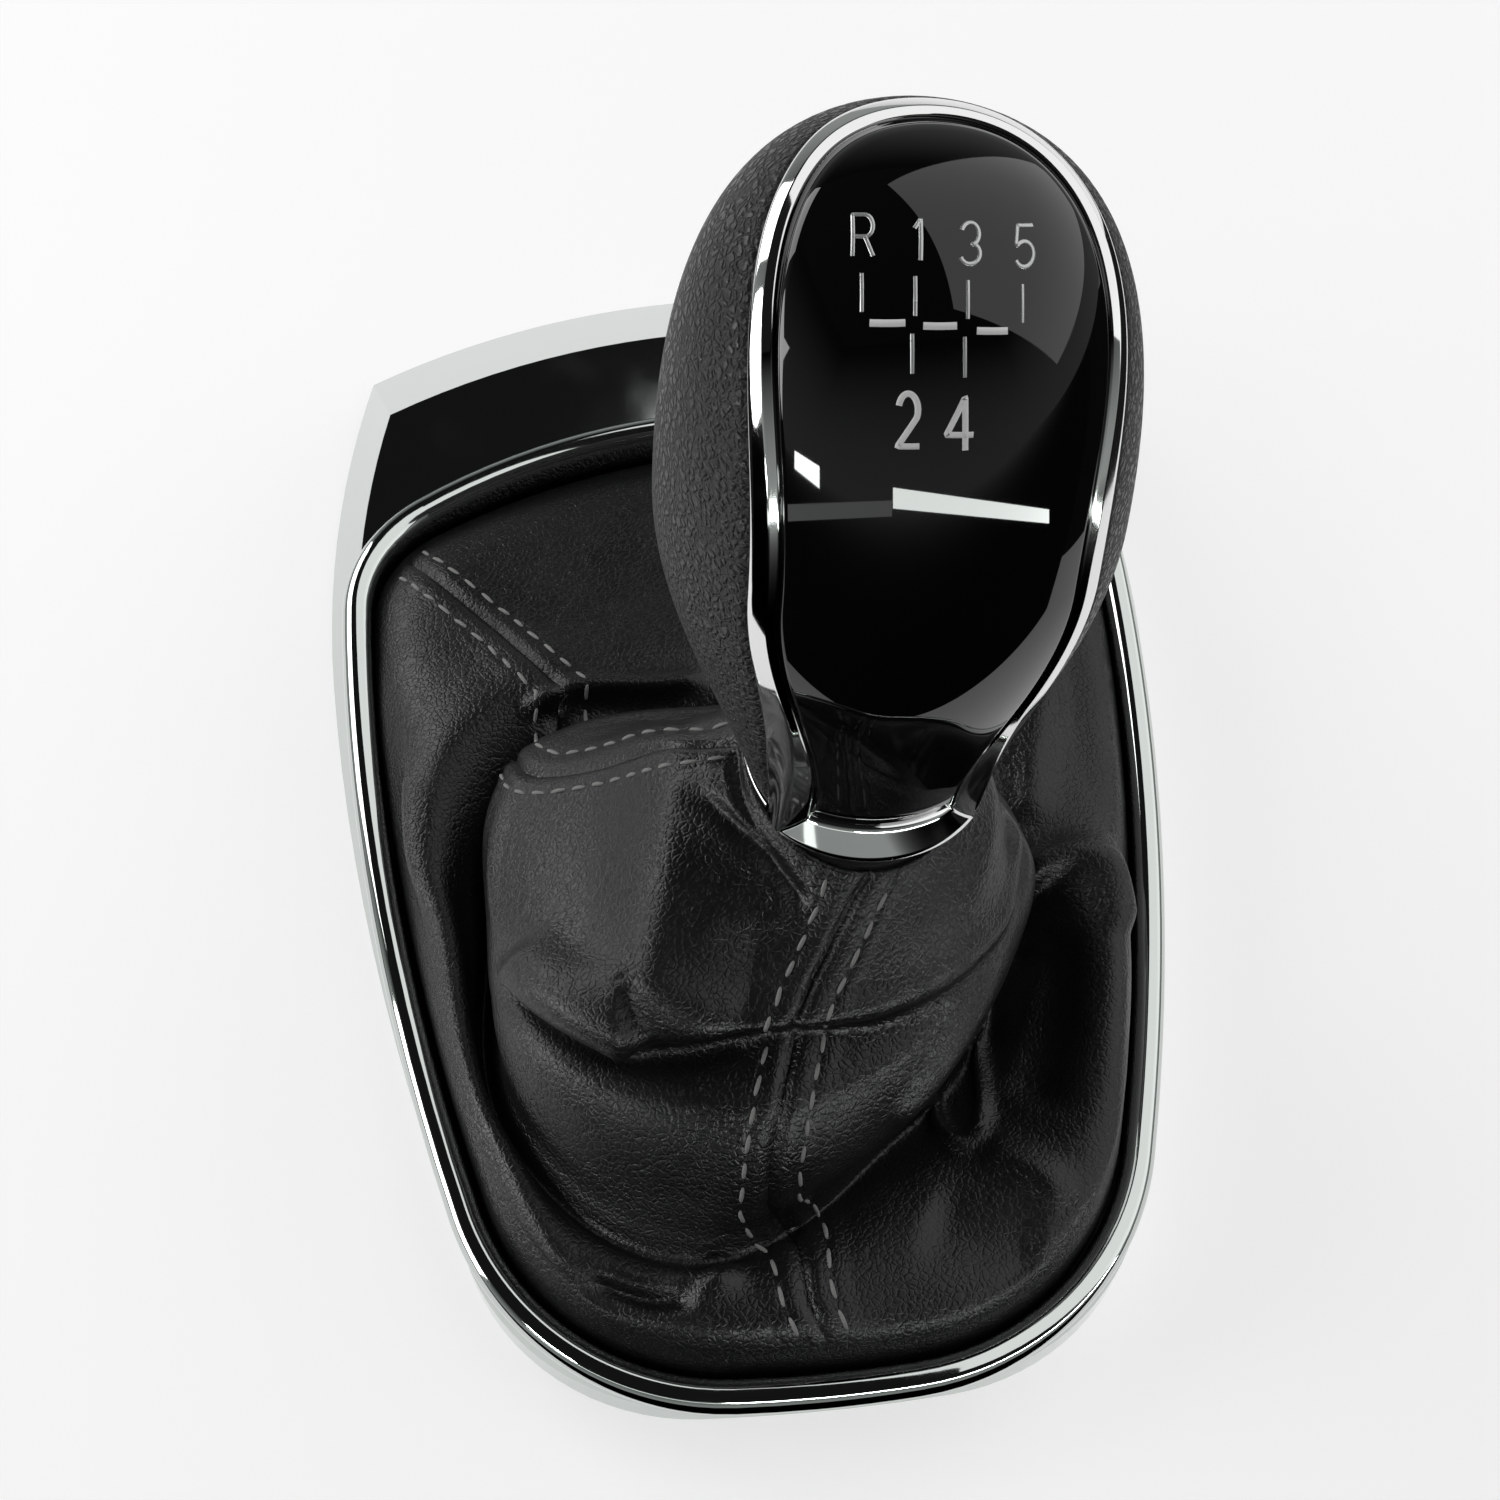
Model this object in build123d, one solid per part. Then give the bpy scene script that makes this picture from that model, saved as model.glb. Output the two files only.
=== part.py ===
from build123d import *
import math
import os
from typing import NamedTuple

# Gear shift knob with its leather boot and chrome console bezel, in millimetres. X runs across the car, +Y
# points to the dashboard and +Z up. The origin lies on the console, under the middle of the bezel.

# Foot of the bezel on the console
FOOT_FRONT = -99.5
FOOT_FRONT_HALF = 39.5
FOOT_FRONT_CROWN = 3.0
FOOT_FRONT_RADIUS = 34.0
FOOT_WAIST = (55.8, -44.2)
FOOT_HIP = (65.8, 22.0)
FOOT_BACK = 101.8
FOOT_BACK_HALF = 59.4
FOOT_BACK_CROWN = 15.0
LIP_HEIGHT = 5.0

# Deck, its back crest and the opening for the boot
DECK_HEIGHT = 15.2
DECK_SLOPE = 3.43
OPENING_FRONT = -99.6
OPENING_FRONT_HALF = 38.3
OPENING_FRONT_CROWN = 3.7
OPENING_FRONT_RADIUS = 38.0
OPENING_WAIST = (53.0, -44.2)
OPENING_HIP = (60.2, 20.1)
OPENING_BACK = 59.4
OPENING_BACK_HALF = 59.8
OPENING_BACK_CROWN = 20.6
OPENING_BACK_RADIUS = 22.0
CREST_BACK = 79.4
CREST_BACK_HALF = 54.5
CREST_BACK_CROWN = 12.9
BEAD_RADIUS = 2.3
BEZEL_WALL = 2.2
APRON_WALL = 3.4
FLANGE_DEPTH = 6.5
FLANGE_WALL = 2.0

# Frame that clamps the boot in the opening, with its screws and the console clips
LEATHER = 1.3
CLAMP_GAP = 0.5
FRAME_WALL = 1.6
FRAME_BASE = 2.0
FRAME_RIM_DROP = 5.2
FRAME_FIT = 0.3
EAR_RADIUS = 5.0
EAR_PITCH = 38.0
EAR_REACH = 6.5
SCREW_RADIUS = 1.5
SCREW_LENGTH = 7.0
SCREW_HEAD_RADIUS = 3.2
SCREW_HEAD_HEIGHT = 1.8
BOSS_RADIUS = 3.4
RIB_PITCH = 26.0
RIB_WIDTH = 11.0
RIB_THICKNESS = 2.0
RIB_SETBACK = 3.0
RIB_FOOT = 3.0
CLIP_SHEET = 0.6
CLIP_WIDTH = 8.0
CLIP_HEIGHT = 9.0
CLIP_SPREAD = 2.2

# Knob: pose on the lever, egg-shaped body and the lines between its coverings
KNOB_PLACE = (10.5, -33.5, 57.0)
KNOB_TURN = (-15.0, 4.0, 3.0)
KNOB_HEIGHT = 86.4
KNOB_HALF_WIDTH = 27.3
KNOB_WIDEST = 42.5
KNOB_NECK_RADIUS = 12.1
KNOB_NECK_DROP = 14.0
KNOB_CROWN_FULLNESS = 0.696
BASE_SLOPE = 22.0
SKIN = 2.4
CHROME_PROUD = 0.3
FACE_SUNK = 0.15
RING_HEIGHT = 1.2
FACE_FOOT = 2.2
FACE_LINE = [
    (-12.2, FACE_FOOT),
    (-18.8, 21.0),
    (-21.5, 40.0),
    (-18.9, KNOB_HEIGHT - 24.4),
    (-3.0, KNOB_HEIGHT - 2.8),
    (3.5, KNOB_HEIGHT - 0.1),
    (12.0, KNOB_HEIGHT + 2.6),
]
GRIP_LINE = [
    (0.0, -16.0),
    (-9.9, 8.0),
    (-17.0, 25.0),
    (-19.2, 42.0),
    (-16.6, KNOB_HEIGHT - 24.9),
    (0.0, KNOB_HEIGHT - 3.2),
    (8.5, KNOB_HEIGHT - 0.7),
    (18.0, KNOB_HEIGHT + 1.6),
]

# Socket for the lever, its clip and the collar that carries the boot
LEVER_RADIUS = 6.0
SOCKET_DEPTH = 46.0
SLEEVE_RADIUS = 9.5
SLEEVE_DROP = 21.0
SLEEVE_CAP = 4.0
GROOVE_RADIUS = 8.3
CLIP_RING_RADIUS = 11.4
CLIP_RING_HEIGHT = 1.2
CLIP_RING_DROP = 19.0
CLIP_RING_GAP = 70.0
COLLAR_RADIUS = 12.6
COLLAR_HEIGHT = 7.0
COLLAR_DROP = 1.5
COLLAR_FIT = 0.35

# Boot: reach of its fold lines from the knob's foot, one for every step round it from the right side
BOOT_CENTRE = (10.3, -35.5)
ROLL_REACH = (37.5, 36.0, 44.0, 44.0, 48.0, 64.0, 57.0, 58.5, 60.5, 52.0, 50.0, 41.0)
BULGE_REACH = (24.5, 26.0, 27.0, 30.0, 37.0, 53.0, 51.0, 53.5, 50.0, 36.0, 26.0, 22.5)
CREASE_REACH = (21.0, 21.0, 21.5, 23.0, 28.0, 49.0, 50.0, 43.0, 28.5, 25.0, 23.0, 21.5)
PUFF_REACH = (0.6, 0.0, 0.0, 0.0, 0.0, 0.5, 1.5, 3.0, 3.0, 1.0, 0.5, 0.8)

# Boot: heights of the same lines above the deck, the overhang of its bulge, the lip and the seams
SHOULDER_HEIGHT = (6.0, 5.0, 1.0, -2.0, -2.0, 3.0, 6.0, 6.0, 6.0, 6.0, 6.0, 6.0)
ROLL_HEIGHT = (9.5, 7.5, 7.0, 7.5, 8.5, 9.5, 9.0, 8.5, 8.5, 7.5, 8.0, 10.0)
VALLEY_HEIGHT = (1.5, 7.5, 7.0, 5.0, 3.0, 2.5, 2.0, 4.0, 4.0, 2.0, 0.5, 0.5)
BULGE_UNDERCUT = (2.5, 0.5, 0.5, 1.0, 1.5, 2.0, 2.0, 0.5, 0.0, 2.0, 2.5, 3.0)
CREASE_HEIGHT = (24.0, 24.0, 24.0, 24.0, 22.0, 17.0, 17.0, 24.5, 28.5, 28.5, 27.5, 25.0)
HEM_LIFT = 0.4
SHOULDER_INSET = 2.5
BULGE_HEIGHT = 13.0
TIER_DROP = 1.2
PUFF_RISE = 1.6
NECK_FLARE = 1.3
NECK_DROP = 3.0
THROAT_FLARE = 4.2
THROAT_DROP = 6.5
LIP_DROP = 1.1
LIP_FLARE = 0.6
FRONT_SEAM = 256.0
LEFT_SEAM = 130.0
RIGHT_SEAM = 60.0
SEAM_GAP = 0.4
COLUMN_STEP = 3.0
ROWS_PER_LINE = 3
HEM_STEP = 2.5
FAR = 400.0

deck = Plane(
    origin=(0, 0, DECK_HEIGHT),
    x_dir=(1, 0, 0),
    z_dir=(0, -math.sin(math.radians(DECK_SLOPE)), math.cos(math.radians(DECK_SLOPE))),
)
knob_place = Location(KNOB_PLACE, KNOB_TURN)


class Outline(NamedTuple):
    """Plan outline of the bezel: front arc, rounded front corners, two side arcs and a back arc."""

    front: float
    front_half: float
    front_crown: float
    front_radius: float
    waist: tuple
    hip: tuple
    back: float
    back_half: float
    back_crown: float

    def inset(self, side, back):
        """Move the front and the sides in by one distance and the back by another."""
        return Outline(
            self.front + side,
            self.front_half - side,
            self.front_crown,
            self.front_radius - side,
            (self.waist[0] - side, self.waist[1]),
            (self.hip[0] - side, self.hip[1]),
            self.back - back,
            self.back_half - side,
            self.back_crown,
        )

    def face(self, back_radius=0.0):
        """Draw the outline as a face."""
        front_y = self.front + self.front_crown
        back_y = self.back - self.back_crown
        with BuildSketch() as sketch:
            with BuildLine():
                ThreePointArc((-self.front_half, front_y), (0, self.front), (self.front_half, front_y))
                for side in (1, -1):
                    hip = (side * self.hip[0], self.hip[1])
                    waist = (side * self.waist[0], self.waist[1])
                    flank = ThreePointArc((side * self.front_half, front_y), waist, hip)
                    TangentArc([hip, (side * self.back_half, back_y)], tangent=flank % 1)
                ThreePointArc((-self.back_half, back_y), (0, self.back), (self.back_half, back_y))
            make_face()
            fillet([v for v in sketch.vertices() if abs(v.Y - front_y) < 0.01], self.front_radius)
            if back_radius:
                fillet([v for v in sketch.vertices() if abs(v.Y - back_y) < 0.01], back_radius)
        return sketch.sketch.face()


foot = Outline(
    FOOT_FRONT, FOOT_FRONT_HALF, FOOT_FRONT_CROWN, FOOT_FRONT_RADIUS, FOOT_WAIST, FOOT_HIP,
    FOOT_BACK, FOOT_BACK_HALF, FOOT_BACK_CROWN,
)
opening_start = (
    OPENING_FRONT, OPENING_FRONT_HALF, OPENING_FRONT_CROWN, OPENING_FRONT_RADIUS, OPENING_WAIST, OPENING_HIP,
)
crest = Outline(*opening_start, CREST_BACK, CREST_BACK_HALF, CREST_BACK_CROWN)
opening = Outline(*opening_start, OPENING_BACK, OPENING_BACK_HALF, OPENING_BACK_CROWN)
bead_face = opening.face(OPENING_BACK_RADIUS)


def grown(face, distance):
    """Offset a face outwards, or inwards where the distance is negative."""
    return offset(face, distance, kind=Kind.INTERSECTION).face()


def bezel_block(side, back):
    """Solid under the lip, the skirt and the deck, with its faces moved in by the given walls."""
    lower = foot.inset(side, back).face()
    upper = deck.offset(-side) * crest.inset(side, back).face()
    lip = extrude(lower, LIP_HEIGHT, dir=(0, 0, 1))
    skirt = loft([Pos(0, 0, LIP_HEIGHT) * lower, upper], ruled=True)
    return lip + skirt


def ear_centres():
    """Screw places behind the opening, on the deck plane."""
    radius = (OPENING_BACK_HALF**2 + OPENING_BACK_CROWN**2) / (2 * OPENING_BACK_CROWN)
    for x in (-EAR_PITCH, 0.0, EAR_PITCH):
        drop = radius - math.sqrt(radius**2 - x**2)
        yield x, OPENING_BACK - drop + EAR_REACH


def make_bezel(hollow):
    """Chrome surround: thin skirt and deck, wall round the opening, bead, screw bosses and clip ribs."""
    outer = bezel_block(0, 0)
    inner_edge = grown(bead_face, -BEAD_RADIUS)
    wall_face = grown(bead_face, FLANGE_WALL - BEAD_RADIUS) - inner_edge
    wall = extrude(deck * wall_face, -FLANGE_DEPTH) & outer
    bosses = Part()
    for x, y in ear_centres():
        bosses += deck * Pos(x, y, -FLANGE_DEPTH / 2) * Cylinder(BOSS_RADIUS, FLANGE_DEPTH)
    ribs = Part()
    for x in (-RIB_PITCH, RIB_PITCH):
        rib = Box(RIB_WIDTH, RIB_THICKNESS, FAR)
        ribs += Pos(x, CREST_BACK - RIB_SETBACK, RIB_FOOT + FAR / 2) * rib
    shell = outer - hollow + wall + (bosses & outer) + (ribs & outer)
    shell -= extrude(deck * inner_edge, 2 * FAR, both=True)
    path = (deck * bead_face).outer_wire()
    section = Plane(path @ 0, z_dir=path % 0) * Circle(BEAD_RADIUS)
    bead = sweep(section, path=path, transition=Transition.ROUND)
    shell += bead
    for x, y in ear_centres():
        hole = Pos(x, y, SCREW_LENGTH / 2 - FLANGE_DEPTH - FRAME_BASE) * Cylinder(SCREW_RADIUS, SCREW_LENGTH)
        shell -= deck * hole
    return shell


def make_frame():
    """Clamp frame: upright rim inside the leather, base under it and ears for the screws."""
    rim_outer = grown(bead_face, -BEAD_RADIUS - LEATHER - 2 * CLAMP_GAP)
    rim_inner = grown(rim_outer, -FRAME_WALL)
    rim_height = FLANGE_DEPTH - FRAME_RIM_DROP + FRAME_BASE
    rim = extrude(deck.offset(-FRAME_RIM_DROP) * (rim_outer - rim_inner), -rim_height)
    base_plane = deck.offset(-FLANGE_DEPTH)
    base_outer = grown(bead_face, FLANGE_WALL - BEAD_RADIUS)
    room = bezel_block(BEZEL_WALL + FRAME_FIT, APRON_WALL + FRAME_FIT)
    base = extrude(base_plane * (base_outer - rim_inner), -FRAME_BASE)
    for x, y in ear_centres():
        reach = EAR_REACH + EAR_RADIUS
        tongue = Box(2 * EAR_RADIUS, reach, FRAME_BASE, align=(Align.CENTER, Align.MAX, Align.MAX))
        ear = Cylinder(EAR_RADIUS, FRAME_BASE, align=(Align.CENTER, Align.CENTER, Align.MAX))
        base += base_plane * Pos(x, y, 0) * (tongue + ear)
    base -= extrude(base_plane * rim_inner, -2 * FRAME_BASE)
    frame = rim + (base & room)
    for x, y in ear_centres():
        frame -= base_plane * Pos(x, y, -FRAME_BASE / 2) * Cylinder(SCREW_RADIUS, FRAME_BASE)
    return frame


def make_screws():
    """Pan-head screws that hold the frame's ears to the bosses under the deck."""
    head_plane = deck.offset(-FLANGE_DEPTH - FRAME_BASE)
    screws = []
    for x, y in ear_centres():
        shank = head_plane * Pos(x, y, SCREW_LENGTH / 2) * Cylinder(SCREW_RADIUS, SCREW_LENGTH)
        head = head_plane * Pos(x, y, -SCREW_HEAD_HEIGHT / 2) * Cylinder(SCREW_HEAD_RADIUS, SCREW_HEAD_HEIGHT)
        top = head.faces().sort_by(Axis.Z)[0]
        screws.append(shank + fillet(top.edges(), SCREW_HEAD_HEIGHT / 3))
    return Compound(children=screws)


def make_console_clips():
    """Spring clips folded over the ribs, with their legs sprung outwards."""
    half = RIB_THICKNESS / 2
    clips = []
    for x in (-RIB_PITCH, RIB_PITCH):
        with BuildSketch(Plane.YZ) as section:
            with BuildLine():
                outer = Polyline(
                    (half, 0),
                    (-half, 0),
                    (-half, CLIP_HEIGHT * 0.4),
                    (-half - CLIP_SPREAD, CLIP_HEIGHT),
                )
                offset(outer, CLIP_SHEET, side=Side.LEFT)
            make_face()
        clip = extrude(section.sketch, CLIP_WIDTH / 2, both=True)
        clips.append(Pos(x, CREST_BACK - RIB_SETBACK, RIB_FOOT) * clip)
    return Compound(children=clips)


def knob_curve(grow):
    """Draw the knob's half profile, with its surface moved out by the given distance."""
    neck = KNOB_NECK_RADIUS + grow
    wide = KNOB_HALF_WIDTH + grow
    top = KNOB_HEIGHT + grow
    rise = KNOB_WIDEST + KNOB_NECK_DROP
    full = KNOB_CROWN_FULLNESS
    Bezier(
        (neck, -KNOB_NECK_DROP),
        (neck, -KNOB_NECK_DROP + rise / 3),
        (wide, KNOB_WIDEST - rise / 3),
        (wide, KNOB_WIDEST),
    )
    Bezier(
        (wide, KNOB_WIDEST),
        (wide, KNOB_WIDEST + full * (top - KNOB_WIDEST)),
        (full * wide, top),
        (0, top),
    )


def knob_shell(grow):
    """Egg-shaped skin over the core, with its outer surface moved out by the given distance."""
    with BuildSketch(Plane.XZ) as profile:
        with BuildLine():
            knob_curve(grow)
            knob_curve(-SKIN)
            Line((0, KNOB_HEIGHT + grow), (0, KNOB_HEIGHT - SKIN))
            Line((KNOB_NECK_RADIUS + grow, -KNOB_NECK_DROP), (KNOB_NECK_RADIUS - SKIN, -KNOB_NECK_DROP))
        make_face()
    return revolve(profile.sketch, axis=Axis.Z)


def knob_inside():
    """Egg-shaped space under the skin."""
    with BuildSketch(Plane.XZ) as profile:
        with BuildLine():
            knob_curve(-SKIN)
            foot_corner = (KNOB_NECK_RADIUS - SKIN, -KNOB_NECK_DROP)
            Polyline((0, KNOB_HEIGHT - SKIN), (0, -KNOB_NECK_DROP), foot_corner)
        make_face()
    return revolve(profile.sketch, axis=Axis.Z)


def front_of(line):
    """Block of everything in front of a line drawn on the knob's side view."""
    start, end = line[0], line[-1]
    with BuildSketch(Plane.YZ) as side:
        with BuildLine():
            Spline(line)
            Polyline(end, (-FAR, end[1]), (-FAR, start[1]), start)
        make_face()
    return extrude(side.sketch, FAR, both=True)


def above_base(lift):
    """Block above the knob's sloping base, raised by the given height."""
    block = Pos(0, 0, FAR / 2 + lift) * Box(FAR, FAR, FAR)
    return Rot(BASE_SLOPE, 0, 0) * block


def make_knob():
    """Core, soft grip, chrome surround, face panel and base ring of the knob, in the knob's own frame."""
    face_block = front_of(FACE_LINE)
    front_block = front_of(GRIP_LINE)
    chrome_skin = knob_shell(CHROME_PROUD)
    face_panel = knob_shell(-FACE_SUNK) & face_block
    surround = (chrome_skin & front_block & above_base(0)) - face_block
    grip = (knob_shell(0) - front_block) & above_base(RING_HEIGHT)
    ring = ((chrome_skin - front_block) & above_base(0)) - above_base(RING_HEIGHT)
    core = knob_inside() & above_base(0)
    sleeve_top = SOCKET_DEPTH - SLEEVE_DROP + SLEEVE_CAP
    core -= Pos(0, 0, sleeve_top - FAR / 2) * Cylinder(SLEEVE_RADIUS, FAR)
    return core, grip, surround, face_panel, ring


def make_sleeve():
    """Sleeve with the lever socket, closed at its top and grooved for the clip."""
    length = SOCKET_DEPTH + SLEEVE_CAP
    sleeve = Pos(0, 0, length / 2 - SLEEVE_DROP) * Cylinder(SLEEVE_RADIUS, length)
    sleeve -= Pos(0, 0, SOCKET_DEPTH / 2 - SLEEVE_DROP) * Cylinder(LEVER_RADIUS, SOCKET_DEPTH)
    groove = Cylinder(SLEEVE_RADIUS, CLIP_RING_HEIGHT) - Cylinder(GROOVE_RADIUS, CLIP_RING_HEIGHT)
    return sleeve - Pos(0, 0, -CLIP_RING_DROP) * groove


def make_lever_clip():
    """Open spring ring in the sleeve's groove."""
    ring = Cylinder(CLIP_RING_RADIUS, CLIP_RING_HEIGHT) - Cylinder(GROOVE_RADIUS, CLIP_RING_HEIGHT)
    half_gap = math.radians(CLIP_RING_GAP / 2)
    reach = 2 * CLIP_RING_RADIUS
    gap = Polygon(
        (0, 0),
        (reach * math.sin(half_gap), reach * math.cos(half_gap)),
        (-reach * math.sin(half_gap), reach * math.cos(half_gap)),
        align=None,
    )
    ring -= extrude(gap, CLIP_RING_HEIGHT, both=True)
    return Pos(0, 0, -CLIP_RING_DROP) * ring


def make_collar():
    """Collar on the sleeve, cut parallel to the knob's base, that carries the upper edge of the boot."""
    ring = Cylinder(COLLAR_RADIUS, FAR) - Cylinder(SLEEVE_RADIUS, FAR)
    return (ring & above_base(-COLLAR_DROP - COLLAR_HEIGHT)) - above_base(-COLLAR_DROP)


def knob_radius(height):
    """Radius of the knob below its widest place."""
    share = (height + KNOB_NECK_DROP) / (KNOB_WIDEST + KNOB_NECK_DROP)
    return KNOB_NECK_RADIUS + (KNOB_HALF_WIDTH - KNOB_NECK_RADIUS) * share**2 * (3 - 2 * share)


def neck_point(angle, radius, drop):
    """Point under the knob, the given drop below its sloping base."""
    slope = math.tan(math.radians(BASE_SLOPE))
    across, along = radius * math.cos(angle), radius * math.sin(angle)
    return (knob_place * Pos(across, along, slope * along - drop)).position


def between(before, start, end, after, share):
    """Point on a smooth curve from start to end that heads on to its neighbours."""
    bend = before * 2 - start * 5 + end * 4 - after
    twist = start * 3 - before - end * 3 + after
    return start + ((end - before) + (bend + twist * share) * share) * (share / 2)


def around(table, angle):
    """Value at an angle in degrees, from values evenly spaced round a turn."""
    place = angle % 360 / 360 * len(table)
    k = int(place)
    return between(*(table[(k + i) % len(table)] for i in (-1, 0, 1, 2)), place - k)


def heading(points, k):
    """Direction of a smooth curve at one of its points, from the points beside it."""
    before = points[k] - points[max(k - 1, 0)]
    after = points[min(k + 1, len(points) - 1)] - points[k]
    if before.length == 0:
        return after.normalized()
    if after.length == 0:
        return before.normalized()
    pull = before * (after.length / before.length) + after * (before.length / after.length)
    return pull * (1 / (before.length + after.length))


def along(points, place):
    """Point on a smooth open curve, at a place counted in points from its start."""
    k = min(max(int(place), 0), len(points) - 2)
    s = place - k
    start, end = points[k], points[k + 1]
    span = (end - start).length
    leave, arrive = heading(points, k) * span, heading(points, k + 1) * span
    ease = s * s * (3 - 2 * s)
    return start * (1 - ease) + end * ease + leave * (s * (1 - s) ** 2) - arrive * (s * s * (1 - s))


def mix(start, end, share):
    """Value the given share of the way from start to end."""
    return start + (end - start) * share


def hem_table():
    """Reach of the hem along evenly spaced rays from the boot's centre."""
    hem = grown(bead_face, -BEAD_RADIUS - CLAMP_GAP)
    table = []
    for step in range(round(360 / HEM_STEP)):
        angle = math.radians(step * HEM_STEP)
        end = (BOOT_CENTRE[0] + FAR * math.cos(angle), BOOT_CENTRE[1] + FAR * math.sin(angle))
        table.append((Line(BOOT_CENTRE, end) & hem).edge().length)
    return table


def fold_points(angle, hem):
    """Points where a ray from the boot's centre crosses the fold lines, from the hem up to the lip."""
    turn = math.radians(angle)
    edge = around(hem, angle)
    roll = around(ROLL_REACH, angle)
    bulge = around(BULGE_REACH, angle)
    crease = around(CREASE_REACH, angle)
    puff = around(PUFF_REACH, angle)
    shoulder = around(SHOULDER_HEIGHT, angle)
    roll_height = around(ROLL_HEIGHT, angle)
    valley_height = around(VALLEY_HEIGHT, angle)
    undercut = around(BULGE_UNDERCUT, angle)
    crease_height = around(CREASE_HEIGHT, angle)
    tier_height = mix(BULGE_HEIGHT, crease_height - TIER_DROP, 0.85)
    neck = COLLAR_RADIUS + COLLAR_FIT + LEATHER
    inset = min(SHOULDER_INSET, (edge - roll) / 3)
    on_deck = [
        (edge, HEM_LIFT - FLANGE_DEPTH),
        (edge, min(0.0, shoulder - SHOULDER_INSET)),
        (edge - inset, shoulder),
        (mix(edge, roll, 0.6), mix(shoulder, roll_height, 0.7)),
        (roll, roll_height),
        (mix(roll, bulge, 0.7), mix(roll_height, valley_height, 0.45)),
        (bulge, valley_height),
        (bulge - undercut, mix(valley_height, BULGE_HEIGHT, 0.4)),
        (bulge, BULGE_HEIGHT),
        (mix(bulge, crease, 0.5), tier_height),
        (crease, crease_height),
        (mix(crease, neck, 0.1) + puff, crease_height + PUFF_RISE + puff / 2),
    ]
    points = []
    for reach, height in on_deck:
        x, y = BOOT_CENTRE[0] + reach * math.cos(turn), BOOT_CENTRE[1] + reach * math.sin(turn)
        points.append(deck.from_local_coords(Vector(x, y, height)))
    base_rise = math.tan(math.radians(BASE_SLOPE)) * knob_radius(0) * math.sin(turn)
    throat = neck_point(turn, neck + THROAT_FLARE, THROAT_DROP)
    points.append(mix(points[-1], throat, 0.5))
    points.append(throat)
    points.append(neck_point(turn, neck + NECK_FLARE, NECK_DROP))
    points.append(neck_point(turn, max(neck, knob_radius(base_rise) + LIP_FLARE), LIP_DROP))
    return points


def leather_column(angle, hem):
    """Points on the outer and the inner face of the leather, from the hem up to the lip."""
    here, right, left = (fold_points(angle + turn, hem) for turn in (0, -SEAM_GAP, SEAM_GAP))
    step = 1 / ROWS_PER_LINE
    outer, inner = [], []
    for row in range((len(here) - 1) * ROWS_PER_LINE + 1):
        place = row * step
        point = along(here, place)
        across = along(left, place) - along(right, place)
        upward = along(here, place + step / 4) - along(here, place - step / 4)
        outer.append(point)
        inner.append(point - across.cross(upward).normalized() * LEATHER)
    return outer, inner


def leather_face(columns):
    """Smooth face through columns of points."""
    last = len(columns[0]) - 1
    shares = [row / last for row in range(last + 1)]
    return Shell.make_loft([Wire(Edge.make_spline(points, parameters=shares)) for points in columns]).face()


def leather_panel(start, end, hem):
    """One leather panel of the boot, between two seams given in degrees."""
    count = round((end - start) / COLUMN_STEP)
    first, sweep_angle = start + SEAM_GAP / 2, end - start - SEAM_GAP
    columns = [leather_column(first + sweep_angle * i / count, hem) for i in range(count + 1)]
    outer, inner = (leather_face([column[side] for column in columns]) for side in (0, 1))
    sides = []
    for edge in outer.edges():
        facing = min(inner.edges(), key=lambda other: (other.center() - edge.center()).length)
        sides.append(Face.make_surface_from_curves(edge, facing))
    return Solid(Shell([outer, inner, *sides]))


def make_boot():
    """Left, right and rear leather panels of the boot."""
    hem = hem_table()
    left = leather_panel(LEFT_SEAM, FRONT_SEAM, hem)
    right = leather_panel(FRONT_SEAM - 360, RIGHT_SEAM, hem)
    rear = leather_panel(RIGHT_SEAM, LEFT_SEAM, hem)
    return left, right, rear


def main():
    """Build every piece and write one file for each."""
    os.makedirs("parts", exist_ok=True)
    hollow = bezel_block(BEZEL_WALL, APRON_WALL)
    nodes = {
        "bezel_surround": make_bezel(hollow),
        "boot_frame": make_frame(),
        "frame_screws": make_screws(),
        "console_clips": make_console_clips(),
    }
    knob_names = ("knob_core", "knob_grip", "knob_surround", "face_panel", "base_ring")
    for name, shape in zip(knob_names, make_knob()):
        nodes[name] = knob_place * shape
    nodes["lever_sleeve"] = knob_place * make_sleeve()
    nodes["lever_clip"] = knob_place * make_lever_clip()
    nodes["boot_collar"] = knob_place * make_collar()
    for name, shape in zip(("left_boot_panel", "right_boot_panel", "rear_boot_panel"), make_boot()):
        nodes[name] = shape
    for name, shape in nodes.items():
        export_step(shape, f"parts/{name}.step")


main()
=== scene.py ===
"""Studio picture of a gear shift knob with its leather boot and chrome bezel.

Sizes are in millimetres until a mesh is written, which is in metres. X runs across the car, +Y points to the
dashboard and +Z up.
"""

import logging
import math
from dataclasses import dataclass, field
from enum import Enum

import bpy
import numpy as np
from mathutils import Matrix, Vector
from mathutils.bvhtree import BVHTree


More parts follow.
